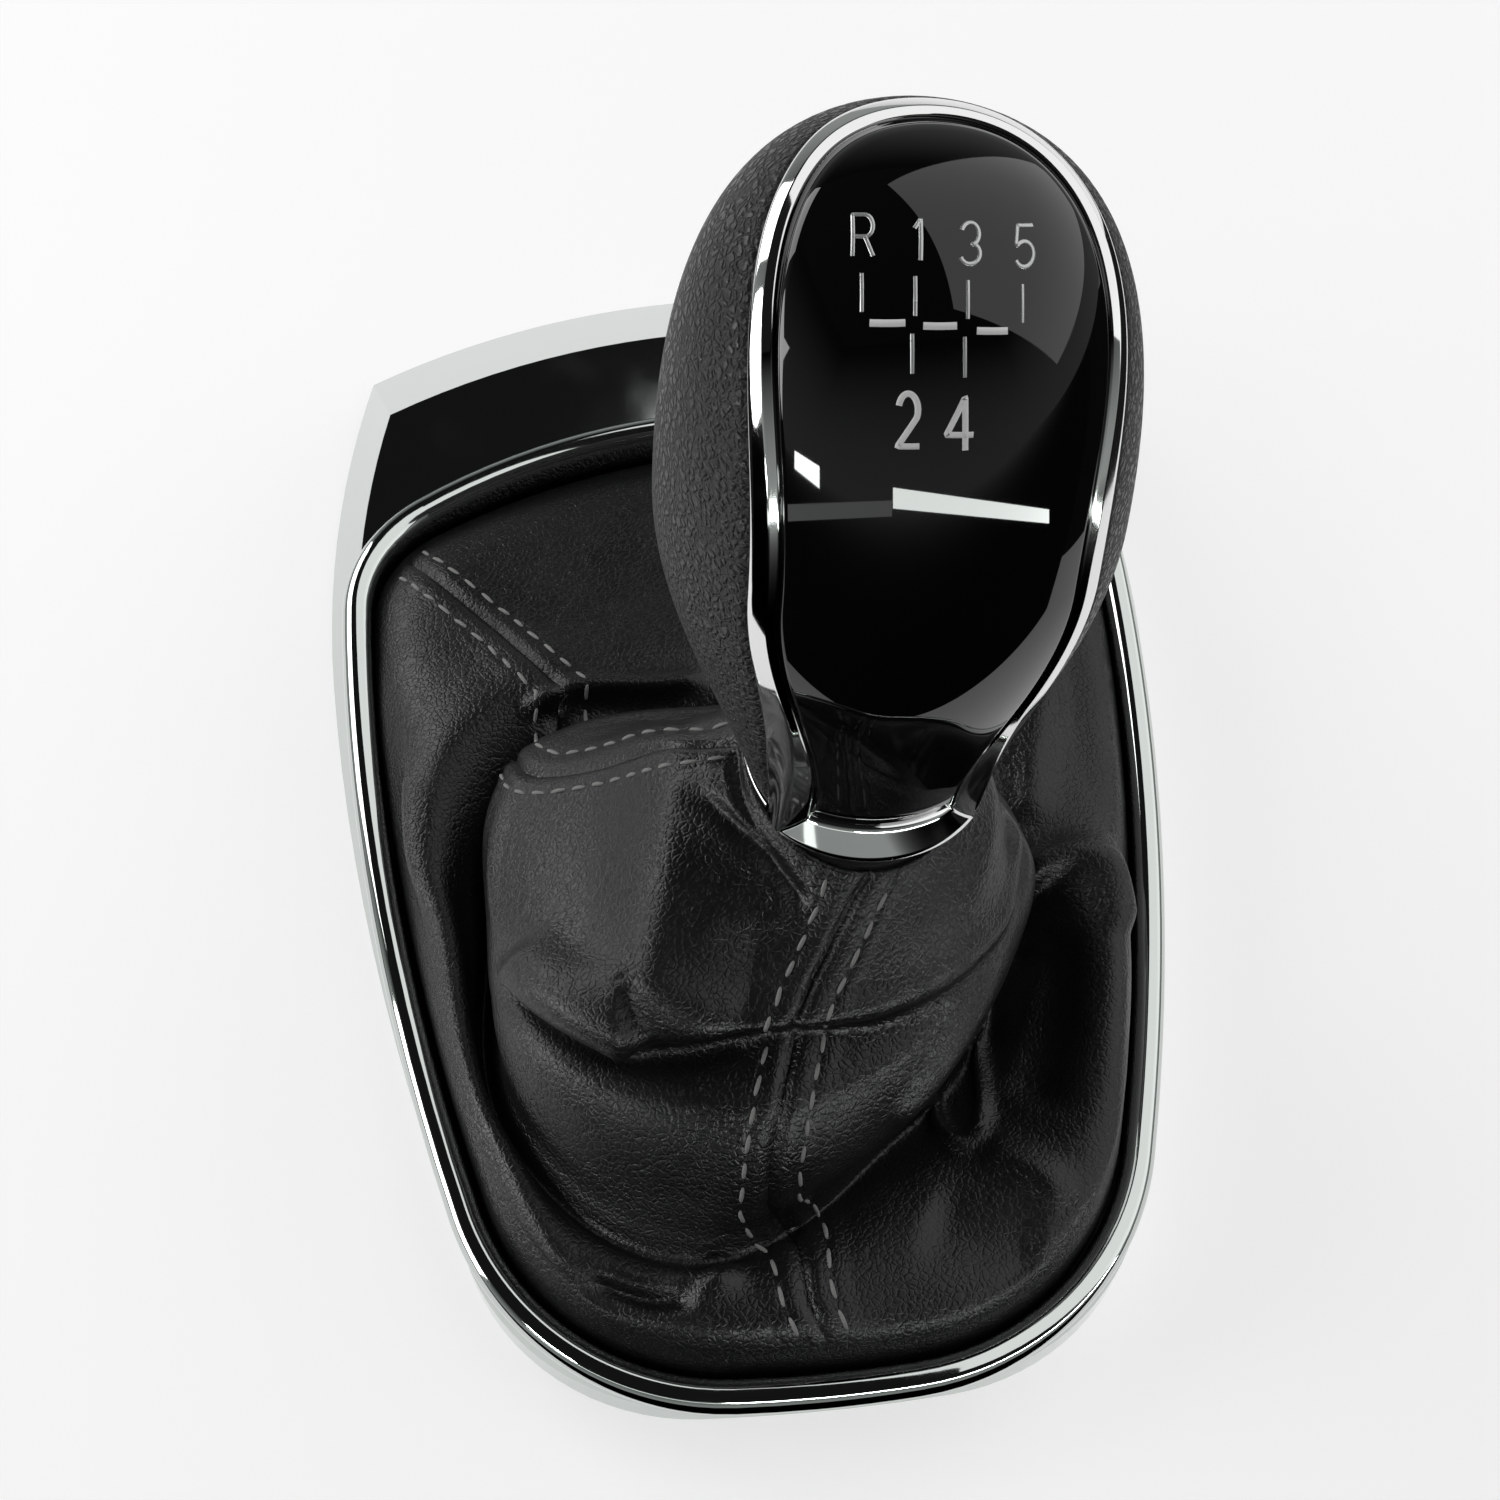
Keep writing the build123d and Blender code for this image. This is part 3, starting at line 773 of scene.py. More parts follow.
@dataclass
class KnobShape:
    """Egg-shaped body of the knob, in its own frame: u across, v to the back and w along the lever."""

    place: Spot = (10.5, -33.5, 57.0)
    turn: Spot = (-15.0, 4.0, 3.0)
    top: float = 86.4
    wide: float = 27.3
    widest: float = 42.5
    neck: float = 12.1
    neck_drop: float = 14.0
    fullness: float = 0.696
    base_slope: float = 22.0
    samples: int = 4000
    ray_samples: int = 40000
    halvings: int = 44
    settling: int = 30
    top_gap: float = 1e-3
    probe: float = 1e-2

    def __post_init__(self) -> None:
        """Tabulate the crown's profile, a cubic curve from the widest place to the top."""
        t = np.linspace(0.0, 1.0, self.samples)
        rise = self.top - self.widest
        thirds = 3 * t * (1 - t) ** 2, 3 * t**2 * (1 - t)
        start, end = (1 - t) ** 3, t**3
        handle = self.widest + self.fullness * rise
        self.crown_w = self.widest * start + handle * thirds[0] + self.top * (thirds[1] + end)
        self.crown_r = self.wide * (start + thirds[0] + self.fullness * thirds[1])

    def radius(self, w: np.ndarray) -> np.ndarray:
        """Radius of the body at a height.

        Args:
            w: Heights in millimetres.

        Returns:
            Radius at each height.
        """
        climb = (w + self.neck_drop) / (self.widest + self.neck_drop)
        below = self.neck + (self.wide - self.neck) * ease(climb)
        return np.where(w <= self.widest, below, np.interp(w, self.crown_w, self.crown_r))

    def world(self, local: np.ndarray) -> np.ndarray:
        """Points of the knob's frame as points of the part's frame."""
        return local @ rotation(self.turn).T + np.array(self.place)

    def base(self, v: np.ndarray) -> np.ndarray:
        """Height of the sloping base."""
        return v * math.tan(math.radians(self.base_slope))

    def normal(self, local: np.ndarray) -> np.ndarray:
        """Outward directions of the body.

        Args:
            local: Points on or near the body.

        Returns:
            Direction at each point.
        """
        w = np.clip(local[..., 2], -self.neck_drop, self.top - self.top_gap)
        above, below = np.minimum(w + self.probe, self.top), w - self.probe
        slope = (self.radius(above) - self.radius(below)) / (above - below)
        across = np.linalg.norm(local[..., :2], axis=-1)
        outward = local[..., :2] / np.maximum(across, TINY)[..., None]
        return unit(np.concatenate([outward, -slope[..., None]], axis=-1))

    def cast(self, directions: np.ndarray) -> np.ndarray:
        """Points where rays from the middle of the knob leave the body.

        Args:
            directions: Directions of the rays.

        Returns:
            Points on the body.
        """
        middle = np.array([0.0, 0.0, self.widest])
        rays = unit(directions)
        near, far = np.zeros(rays.shape[:-1]), np.full(rays.shape[:-1], 3 * self.widest)
        for _ in range(self.halvings):
            half = (near + far) / 2
            point = middle + rays * half[..., None]
            height = point[..., 2]
            outside = np.linalg.norm(point[..., :2], axis=-1) > self.radius(np.minimum(height, self.top))
            outside |= height > self.top
            near, far = np.where(outside, near, half), np.where(outside, half, far)
        return middle + rays * near[..., None]

    def mirrored(self, eye: np.ndarray, ray: np.ndarray) -> tuple[np.ndarray, np.ndarray]:
        """Point of the body that a ray meets first, and the ray thrown back there.

        Args:
            eye: Where the ray starts, in the part's frame.
            ray: Its direction.

        Returns:
            The point and the direction of the thrown ray, in the part's frame.
        """
        turned = rotation(self.turn)
        start, along = (eye - np.array(self.place)) @ turned, ray @ turned
        points = start + along * np.linspace(0.0, 2 * np.linalg.norm(start), self.ray_samples)[:, None]
        w = points[:, 2]
        inside = np.linalg.norm(points[:, :2], axis=1) < self.radius(np.minimum(w, self.top))
        point = points[np.argmax(inside & (w < self.top) & (w > -self.neck_drop))]
        normal = self.normal(point)
        return self.world(point), (along - 2 * (along @ normal) * normal) @ turned.T

    def snapped(self, local: np.ndarray) -> np.ndarray:
        """Points moved on to the body, along rays from its middle."""
        return self.cast(local - np.array([0.0, 0.0, self.widest]))

    def raised(self, local: np.ndarray, height: np.ndarray | float) -> np.ndarray:
        """Points on the body moved out by the given heights."""
        return local + self.normal(local) * np.asarray(height)[..., None]

    def front(self, u: np.ndarray, w: np.ndarray) -> np.ndarray:
        """Points on the front of the body, from their place across and their height."""
        v = -np.sqrt(np.maximum(self.radius(w) ** 2 - u**2, 0.0))
        return np.stack([u, v, w], axis=-1)

    def round_lever(self, turn: np.ndarray, w: np.ndarray) -> np.ndarray:
        """Points on the body, from their angle round the lever and their height."""
        radius = self.radius(w)
        return np.stack([radius * np.sin(turn), -radius * np.cos(turn), w], axis=-1)

    def above_base(self, turn: np.ndarray, lift: float) -> np.ndarray:
        """Points on the body in a line along its sloping base.

        Args:
            turn: Angles round the lever, from the front.
            lift: Height of the line above the base.

        Returns:
            Points of the line.
        """
        w = np.zeros_like(turn)
        for _ in range(self.settling):
            w = self.base(-self.radius(w) * np.cos(turn)) + lift
        return self.round_lever(turn, w)

    def side_line(self, points: tuple[Pair, ...], count: int) -> np.ndarray:
        """Line on the left of the body that follows a line drawn on its side view.

        Args:
            points: Points of the drawn line, as v and w.
            count: Number of points on the result.

        Returns:
            Points from the base or the line's foot up to the crown.
        """
        drawn = spline(np.array(points), self.samples)
        v, w = drawn[:, 0], drawn[:, 1]
        room = self.radius(np.minimum(w, self.top)) ** 2 - v**2
        keep = (room >= 0) & (w < self.top) & (w >= self.base(v))
        line = np.stack([-np.sqrt(np.maximum(room, 0.0)), v, w], axis=1)[keep]
        line = np.concatenate([line, line[-1:] * np.array([0.0, 1.0, 1.0])])
        return resample(line, count)


@dataclass
class Knob:
    """Coverings of the knob: face, chrome surround, soft grip, base ring and the shift pattern.

    The face and grip lines are drawn on the side view, as v and w. The profiles give the way along a piece
    and the height above the body. The tucks are edges that run on out of sight under the next piece.
    """

    shape: KnobShape = field(default_factory=KnobShape)
    face_foot: float = 2.2
    face_line: tuple[Pair, ...] = (
        (-12.2, 2.2),
        (-18.8, 21.0),
        (-21.5, 40.0),
        (-18.9, 62.0),
        (-3.0, 83.6),
        (3.5, 86.3),
        (12.0, 89.0),
    )
    grip_line: tuple[Pair, ...] = (
        (0.0, -16.0),
        (-9.9, 8.0),
        (-17.0, 25.0),
        (-19.2, 42.0),
        (-16.6, 61.5),
        (0.0, 83.2),
        (8.5, 85.7),
        (18.0, 88.0),
    )
    side_count: int = 170
    foot_count: int = 70
    face_sunk: float = 0.15
    face_rings: int = 60
    face_start: float = 0.02
    face_round: float = 0.955
    round_shares: tuple[float, ...] = (0.967, 0.978, 0.987, 0.994, 1.0)
    round_fall: float = 0.55
    face_tuck_share: float = 1.004
    face_tuck: float = 1.2
    chrome_proud: float = 0.3
    chrome_edge: tuple[Pair, ...] = ((0.0, -0.9), (0.0, -0.1), (0.12, 0.1), (0.4, 0.255))
    band_start: float = 0.8
    band_rows: int = 9
    chin_ridge: float = 1.9
    chin_bevel: float = 4.2
    chin_fade: int = 40
    side_bevel: float = 0.9
    bevel_shares: tuple[float, ...] = (0.12, 0.3, 0.55, 0.8, 0.95)
    bevel_foot: float = 0.25
    band_tuck: tuple[Pair, ...] = ((0.0, -0.5), (0.05, -1.5))
    grip_rows: int = 110
    grip_columns: int = 150
    grip_crowding: float = 0.94
    grip_foot_tuck: tuple[float, ...] = (-0.012, -0.004)
    grip_side_tuck: tuple[float, ...] = (-1.02, -1.008)
    grip_edge: Pair = (-1.0, -0.96)
    grip_edge_columns: int = 6
    grip_inner: float = 0.955
    grip_tuck: float = 0.9
    side_fall: float = 0.5
    side_round: float = 1.1
    foot_fall: float = 0.45
    foot_round: float = 1.0
    ring_height: float = 1.2
    ring_profile: tuple[Pair, ...] = (
        (0.0, -1.2),
        (0.0, 0.05),
        (0.12, 0.22),
        (0.4, 0.3),
        (0.8, 0.3),
        (1.08, 0.22),
        (1.2, 0.05),
        (1.2, -0.8),
    )

    def corner_turn(self) -> float:
        """Angle round the lever from the front to the grip's lower corner."""
        corner = self.shape.side_line(self.grip_line, self.side_count)[0]
        return math.atan2(-corner[0], -corner[1])

    def loop(self, line: tuple[Pair, ...], foot: np.ndarray) -> np.ndarray:
        """Closed line on the body: up its left side, down its right side and back along its foot.

        Args:
            line: Line on the side view.
            foot: Points along the foot, from right to left, without its ends.

        Returns:
            Points of the closed line.
        """
        left = self.shape.side_line(line, self.side_count)
        right = left[::-1] * np.array([-1.0, 1.0, 1.0])
        return np.concatenate([left, right[1:], foot])

    def face_loop(self) -> np.ndarray:
        """Edge of the face.

        Returns:
            Points of the closed edge.
        """
        corner = self.shape.side_line(self.face_line, self.side_count)[0]
        across = np.linspace(-corner[0], corner[0], self.foot_count + 2)[1:-1]
        return self.loop(self.face_line, self.shape.front(across, np.full(self.foot_count, self.face_foot)))

    def grip_loop(self) -> np.ndarray:
        """Outer edge of the chrome surround.

        Returns:
            Points of the closed edge.
        """
        spread = self.corner_turn()
        turn = np.linspace(spread, -spread, self.foot_count + 2)[1:-1]
        return self.loop(self.grip_line, self.shape.above_base(turn, 0.0))

    def build(self) -> None:
        """Make and dress every covering."""
        chrome = Chrome("knob_chrome").material()
        self.place(self.make_face(), "face_panel", Slot.GLOSS_FACE)
        self.place(self.make_surround(chrome), "knob_surround", Slot.KNOB_CHROME)
        self.place(self.make_grip(), "knob_grip", Slot.GRIP_COVER)
        self.place(self.make_ring(chrome), "base_ring", Slot.KNOB_CHROME)
        ShiftPattern(self.shape, self.face_sunk).build()

    def place(self, piece: Piece, node: str, slot: Slot) -> None:
        """Let a piece stand for a CAD node and ride on the knob.

        Args:
            piece: The piece.
            node: Name of the CAD node.
            slot: Material slot of the piece; not used.
        """
        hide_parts(node)
        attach(piece, Body.KNOB.value)
        log.info("%s replaces %s", piece.name, node)

    def make_face(self) -> Piece:
        """Gloss black domed face, with a rounded edge.

        Returns:
            The face.
        """
        edge = self.face_loop()
        rim = unit(edge - np.array([0.0, 0.0, self.shape.widest]))
        heart = np.array([0.0, -1.0, 0.0])
        angle = np.arccos(np.clip(rim @ heart, -1.0, 1.0))
        toward = unit(rim - (rim @ heart)[:, None] * heart)
        dome = np.linspace(self.face_start, self.face_round, self.face_rings)
        rows = [self.shape.raised(self.shape.cast(heart[None, :]), -self.face_sunk)]
        for share in np.concatenate([dome, self.round_shares, [self.face_tuck_share]]):
            swing = (angle * share)[:, None]
            body = self.shape.cast(np.cos(swing) * heart + np.sin(swing) * toward)
            fall = self.round_fall * ease((share - self.face_round) / (1 - self.face_round))
            if share > 1.0:
                fall += self.face_tuck
            rows.append(self.shape.raised(body, -self.face_sunk - fall))
        faces = grid_faces(len(rows) - 1, len(edge), True, 1)
        faces += [(0, 1 + (i + 1) % len(edge), 1 + i) for i in range(len(edge))]
        points = self.shape.world(np.concatenate(rows))
        return mesh_object("gloss_face_dome", points, faces, Gloss("gloss_face").material())

    def chin_shares(self, count: int) -> np.ndarray:
        """How far each point of the chrome band belongs to the chin.

        Args:
            count: Number of points round the band.

        Returns:
            Shares from 0 at the sides to 1 along the chin.
        """
        chin = np.zeros(count)
        sides = count - self.foot_count
        fade = 1 - ease((np.arange(self.chin_fade) + 1) / (self.chin_fade + 1))
        chin[sides:] = 1.0
        chin[: self.chin_fade] = fade
        chin[sides - self.chin_fade : sides] = fade[::-1]
        return chin

    def make_surround(self, chrome: Material) -> Piece:
        """Chrome band round the face, bevelled at both edges and ridged at the chin.

        Args:
            chrome: Its material.

        Returns:
            The band.
        """
        outer, inner = self.grip_loop(), self.face_loop()
        width = np.linalg.norm(inner - outer, axis=1)
        count = len(outer)
        chin = self.chin_shares(count)
        bevel = self.side_bevel + (self.chin_bevel - self.side_bevel) * chin
        ridge = self.chrome_proud + self.chin_ridge * chin
        steps: list[tuple[np.ndarray | float, np.ndarray | float]] = list(self.chrome_edge)
        for share in np.linspace(0.0, 1.0, self.band_rows):
            at = self.band_start + (width - bevel - self.band_start) * share
            steps.append((at, self.chrome_proud + (ridge - self.chrome_proud) * ease(share)))
        for share in self.bevel_shares:
            steps.append((width - bevel * (1 - share), ridge - (self.bevel_foot + ridge) * share))
        steps += [(width + over, height) for over, height in self.band_tuck]
        rows = []
        for at, height in steps:
            share = (at / np.maximum(width, TINY))[:, None]
            body = self.shape.snapped(outer + (inner - outer) * share)
            rows.append(self.shape.raised(body, height))
        points = self.shape.world(np.concatenate(rows))
        return mesh_object("chrome_surround", points, grid_faces(len(rows), count, True), chrome)

    def make_grip(self) -> Piece:
        """Soft grained grip on the sides and the back.

        Returns:
            The grip.
        """
        shape = self.shape
        line = shape.side_line(self.grip_line, 4 * self.side_count)
        edge_turn = np.unwrap(np.arctan2(-line[:, 0], -line[:, 1]))
        top = line[-1, 2]
        climb = np.linspace(0.0, 1.0, self.grip_rows) ** self.grip_crowding
        rows = np.concatenate([self.grip_foot_tuck, climb])
        side = np.concatenate([self.grip_side_tuck, np.linspace(*self.grip_edge, self.grip_edge_columns)])
        inner = np.linspace(-self.grip_inner, self.grip_inner, self.grip_columns)
        columns = np.concatenate([side, inner, -side[::-1]])
        share, across = np.meshgrid(rows, columns, indexing="ij")
        w = share * top
        for _ in range(shape.settling):
            limit = math.pi - np.interp(w, line[:, 2], edge_turn)
            turn = math.pi + across * limit
            foot = shape.base(-shape.radius(w) * np.cos(turn)) + self.ring_height
            w = foot + share * (top - foot)
        gap = (1.0 - np.abs(across)) * limit * shape.radius(w)
        fall = self.side_fall * (1 - ease(gap / self.side_round))
        fall += self.foot_fall * (1 - ease(share * top / self.foot_round))
        fall = np.where((np.abs(across) > 1.0) | (share < 0.0), self.grip_tuck, fall)
        points = shape.world(shape.raised(shape.round_lever(turn, w), -fall).reshape(-1, 3))
        return mesh_object("soft_grip", points, grid_faces(*share.shape), Grain("grip_cover").material())

    def make_ring(self, chrome: Material) -> Piece:
        """Thin chrome ring along the lower edge of the grip.

        Args:
            chrome: Its material.

        Returns:
            The ring.
        """
        limit = math.pi - self.corner_turn()
        turn = math.pi + np.linspace(-1.0, 1.0, 2 * self.grip_columns) * limit
        rows = [self.shape.raised(self.shape.above_base(turn, lift), out) for lift, out in self.ring_profile]
        points = self.shape.world(np.concatenate(rows))
        return mesh_object("chrome_base_ring", points, grid_faces(len(rows), len(turn)), chrome)


@dataclass(frozen=True)
class Sign:
    """Numeral or letter on the face: its middle, and its width and height as steps in u and w."""

    text: str
    centre: Pair
    across: Pair
    upward: Pair


@dataclass
class ShiftPattern:
    """Numerals and gate lines of the shift pattern, inlaid in the face, with places as u and w."""

    shape: KnobShape
    sunk: float
    lift: float = 0.03
    edge_sink: float = 0.08
    flat_share: float = 0.42
    line_width: float = 0.42
    digit_width: float = 0.46
    bold_width: float = 0.72
    dash_width: float = 0.8
    step: float = 0.12
    fewest: int = 4
    arc_points: int = 14
    top_signs: tuple[Sign, ...] = (
        Sign("R", (-8.89, 81.42), (2.2, 0.4), (0.46, 2.59)),
        Sign("1", (-3.63, 81.78), (2.2, 0.05), (0.46, 2.63)),
        Sign("3", (1.4, 81.56), (2.5, -0.1), (0.47, 2.66)),
        Sign("5", (7.06, 80.75), (2.6, -0.45), (0.51, 2.65)),
    )
    bold_signs: tuple[Sign, ...] = (
        Sign("2", (-5.16, 66.95), (2.6, 0.18), (-0.17, 5.14)),
        Sign("4", (-0.02, 66.64), (3.0, -0.12), (-0.27, 5.22)),
    )
    bars: tuple[tuple[Pair, Pair], ...] = (
        ((-9.34, 78.92), (-9.54, 76.0)),
        ((-4.36, 79.32), (-4.55, 76.3)),
        ((0.76, 79.1), (0.6, 76.12)),
        ((6.46, 78.23), (6.32, 75.21)),
        ((-4.88, 74.82), (-4.89, 71.38)),
        ((0.27, 74.66), (0.3, 71.09)),
    )
    dashes: tuple[tuple[Pair, Pair], ...] = (
        ((-8.85, 75.25), (-5.51, 75.67)),
        ((-3.81, 75.54), (-0.51, 75.59)),
        ((1.48, 75.1), (4.7, 74.79)),
    )

    def arc(self, centre: Pair, size: Pair, start: float, end: float) -> list[Pair]:
        """Points along an arc of an ellipse, from its half width and half height and its ends in degrees."""
        turn = np.radians(np.linspace(start, end, self.arc_points))
        return [(centre[0] + size[0] * math.cos(a), centre[1] + size[1] * math.sin(a)) for a in turn]

    def strokes(self, text: str) -> list[list[Pair]]:
        """Strokes of one numeral or letter, in a box from -0.5 to 0.5 both ways.

        Args:
            text: The numeral or letter.

        Returns:
            Points of each stroke.
        """
        arc = self.arc
        bowl = arc((0.1, 0.25), (0.32, 0.25), 90, -90)
        table = {
            "R": [[(-0.42, -0.5), (-0.42, 0.5)] + bowl + [(-0.42, 0.0)], [(0.08, 0.0), (0.44, -0.5)]],
            "1": [[(-0.22, 0.28), (0.06, 0.5), (0.06, -0.5)]],
            "2": [arc((0.0, 0.2), (0.36, 0.3), 165, -30) + [(-0.4, -0.5), (0.42, -0.5)]],
            "3": [arc((-0.03, 0.24), (0.36, 0.26), 160, -80) + arc((-0.03, -0.24), (0.4, 0.26), 80, -160)],
            "4": [[(0.18, -0.5), (0.18, 0.5), (-0.46, -0.2), (0.46, -0.2)]],
            "5": [[(0.36, 0.5), (-0.3, 0.5), (-0.38, 0.03)] + arc((-0.02, -0.18), (0.4, 0.32), 140, -150)],
        }
        return table[text]

    def build(self) -> None:
        """Make the silver signs and the white ones."""
        silver = Plain("pattern_silver", (0.55, 0.56, 0.56, 1.0), 0.3, 0.6).material()
        white = Plain("pattern_white", (0.85, 0.85, 0.84, 1.0), 0.45).material()
        lines = self.drawn(self.top_signs, self.digit_width)
        lines += [(np.array(bar), self.line_width) for bar in self.bars]
        brights = self.drawn(self.bold_signs, self.bold_width)
        brights += [(np.array(dash), self.dash_width) for dash in self.dashes]
        self.inlay("pattern_lines", lines, silver)
        self.inlay("pattern_numerals", brights, white)

    def drawn(self, signs: tuple[Sign, ...], width: float) -> list[tuple[np.ndarray, float]]:
        """Strokes of signs at their places on the face.

        Args:
            signs: The signs.
            width: Width of their strokes.

        Returns:
            Points and width of each stroke.
        """
        lines = []
        for sign in signs:
            for stroke in self.strokes(sign.text):
                points = np.array(stroke)
                placed = np.array(sign.centre) + points[:, :1] * np.array(sign.across)
                lines.append((placed + points[:, 1:] * np.array(sign.upward), width))
        return lines

    def inlay(self, name: str, lines: list[tuple[np.ndarray, float]], finish: Material) -> None:
        """Make one piece of thin ribbons on the face.

        Args:
            name: Name of the piece.
            lines: Points and width of each ribbon.
            finish: Material of the piece.
        """
        edge, flat = (0.5, -self.edge_sink), (self.flat_share, self.lift)
        profile = ((-edge[0], edge[1]), (-flat[0], flat[1]), flat, edge)
        points: list[np.ndarray] = []
        faces: Faces = []
        for line, width in lines:
            length = spacing(self.shape.front(line[:, 0], line[:, 1])).sum()
            along = resample(line, max(int(length / self.step), self.fewest))
            body = self.shape.front(along[:, 0], along[:, 1])
            normal = self.shape.normal(body)
            side = unit(np.cross(normal, np.gradient(body, axis=0)))
            faces += grid_faces(len(profile), len(along), False, sum(len(row) for row in points))
            for share, height in profile:
                points.append(body + side * (width * share) + normal * (height - self.sunk))
        piece = mesh_object(name, self.shape.world(np.concatenate(points)), faces, finish)
        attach(piece, Body.KNOB.value)
        log.info("%s on the face", name)


@dataclass
class Deck:
    """Sloping plane of the bezel's deck."""

    height: float = 15.2
    slope: float = 3.43

    def world(self, local: np.ndarray) -> np.ndarray:
        """Points on and above the deck as points of the part's frame.

        Args:
            local: Points as x, the way up the slope and the height above it.

        Returns:
            Points of the part's frame.
        """
        rise, run = math.sin(math.radians(self.slope)), math.cos(math.radians(self.slope))
        x, y, h = local[..., 0], local[..., 1], local[..., 2]
        return np.stack([x, y * run - h * rise, self.height + y * rise + h * run], axis=-1)


@dataclass
class Bezel:
    """Chrome surround with its skirt, deck and bead."""

    tint: Colour = (0.6, 0.63, 0.61, 1.0)
    polish: float = 0.04

    def build(self) -> None:
        """Make a plated copy of the CAD shape."""
        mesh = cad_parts["bezel_surround"].data.copy()
        mesh.materials.clear()
        mesh.materials.append(Chrome("bezel_chrome", colour=self.tint, polish=self.polish).material())
        piece = bpy.data.objects.new("chrome_bezel", mesh)
        bpy.context.scene.collection.objects.link(piece)
        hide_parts("bezel_surround")
        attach(piece, Body.BEZEL.value)
        log.info("chrome_bezel replaces bezel_surround")


@dataclass
class BootShape:
    """Surface of the leather boot, by the angle round the knob's foot and the place from hem to lip.

    Each row of numbers goes round the boot in even steps from the right: the reach of a fold line from the
    centre, or its height above the deck. The shares set the lines that lie between two others.
    """

    knob: KnobShape
    deck: Deck
    centre: Pair = (10.3, -35.5)
    roll_reach: tuple[float, ...] = (37.5, 36, 44, 44, 48, 64, 57, 58.5, 60.5, 52, 50, 41)
    bulge_reach: tuple[float, ...] = (24.5, 26, 27, 30, 37, 53, 51, 53.5, 50, 36, 26, 22.5)
    crease_reach: tuple[float, ...] = (21, 21, 21.5, 23, 28, 49, 50, 43, 28.5, 25, 23, 21.5)
    crease_height: tuple[float, ...] = (24, 24, 24, 24, 22, 17, 17, 24.5, 28.5, 28.5, 27.5, 25)
    puff_reach: tuple[float, ...] = (0.6, 0, 0, 0, 0, 0.5, 1.5, 3, 3, 1, 0.5, 0.8)
    shoulder_height: tuple[float, ...] = (6, 5, 1, -2, -2, 3, 6, 6, 6, 6, 6, 6)
    roll_height: tuple[float, ...] = (9.5, 7.5, 7, 7.5, 8.5, 9.5, 9, 8.5, 8.5, 7.5, 8, 10)
    valley_height: tuple[float, ...] = (1.5, 7.5, 7, 5, 3, 2.5, 2.5, 6, 7, 2.5, 0, 0)
    bulge_undercut: tuple[float, ...] = (2.5, 0.5, 0.5, 1, 1.5, 2, 2, 0.5, 0, 2, 2.5, 3)
    foot_flare: tuple[float, ...] = (0, 0, 0, 0, 0, 0, 1, 4, 5, -2, 0, 0)
    arch_sector: float = 30.0
    arch_start: float = 1.0
    arch_span: float = 11.0
    hem_height: float = -6.1
    hem_gap: float = 0.55
    hem_count: int = 720
    shoulder_inset: float = 2.5
    inset_parts: int = 3
    slope_reach: float = 0.6
    slope_rise: float = 0.7
    dip_reach: float = 0.7
    dip_drop: float = 0.45
    flank_rise: float = 0.4
    bulge_height: float = 13.0
    tier_reach: float = 0.5
    tier_rise: float = 0.85
    tier_drop: float = 1.2
    puff_share: float = 0.1
    puff_rise: float = 1.6
    neck_radius: float = 14.25
    neck_flare: float = 1.3
    neck_drop: float = 3.0
    throat_flare: float = 4.2
    throat_drop: float = 6.5
    lip_drop: float = 1.1
    lip_flare: float = 0.6
    last: int = 15
    probe_turn: float = 0.1
    probe_place: float = 0.03

    def __post_init__(self) -> None:
        """Measure the opening of the CAD bezel along rays from the boot's centre."""
        tree = BVHTree.FromObject(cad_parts["bezel_surround"], bpy.context.evaluated_depsgraph_get())
        start = Vector(self.deck.world(np.array([*self.centre, self.hem_height / 2])) * MM)
        origin = self.deck.world(np.zeros(3))
        reaches = []
        for turn in np.linspace(0.0, 2 * math.pi, self.hem_count, endpoint=False):
            ahead = self.deck.world(np.array([math.cos(turn), math.sin(turn), 0.0])) - origin
            reaches.append(tree.ray_cast(start, Vector(ahead))[3] / MM - self.hem_gap)
        self.hem = tuple(reaches)

    def around(self, table: tuple[float, ...], angle: np.ndarray) -> np.ndarray:
        """Smooth values at any angle, from values evenly spaced round a turn.

        Args:
            table: The evenly spaced values.
            angle: Angles in degrees.

        Returns:
            Value at each angle.
        """
        values = np.asarray(table, float)
        size = len(values)
        place = (angle % FULL_TURN) / FULL_TURN * size
        k = np.floor(place).astype(int)
        s = place - k
        before, start, end, after = (values[(k + i) % size] for i in (-1, 0, 1, 2))
        bend = before * 2 - start * 5 + end * 4 - after
        twist = start * 3 - before - end * 3 + after
        return start + ((end - before) + (bend + twist * s) * s) * (s / 2)

    def arched(self, angle: np.ndarray) -> np.ndarray:
        """Angles with the rise of the valley at the right side drawn together into an arch.

        Args:
            angle: Angles in degrees.

        Returns:
            Angles at which to read the valley's heights.
        """
        turn = wrapped(np.asarray(angle))
        rise = self.arch_sector * ease((turn - self.arch_start) / self.arch_span)
        return np.where((turn > 0) & (turn < self.arch_sector), rise, turn)

    def neck_points(self, angle: np.ndarray, radius: np.ndarray, drop: float) -> np.ndarray:
        """Points under the knob, at a drop below its sloping base.

        Args:
            angle: Angles in degrees.
            radius: Distances from the lever.
            drop: The drop.

        Returns:
            Points of the part's frame.
        """
        turn = np.radians(angle)
        across, along = radius * np.cos(turn), radius * np.sin(turn)
        return self.knob.world(np.stack([across, along, self.knob.base(along) - drop], axis=-1))

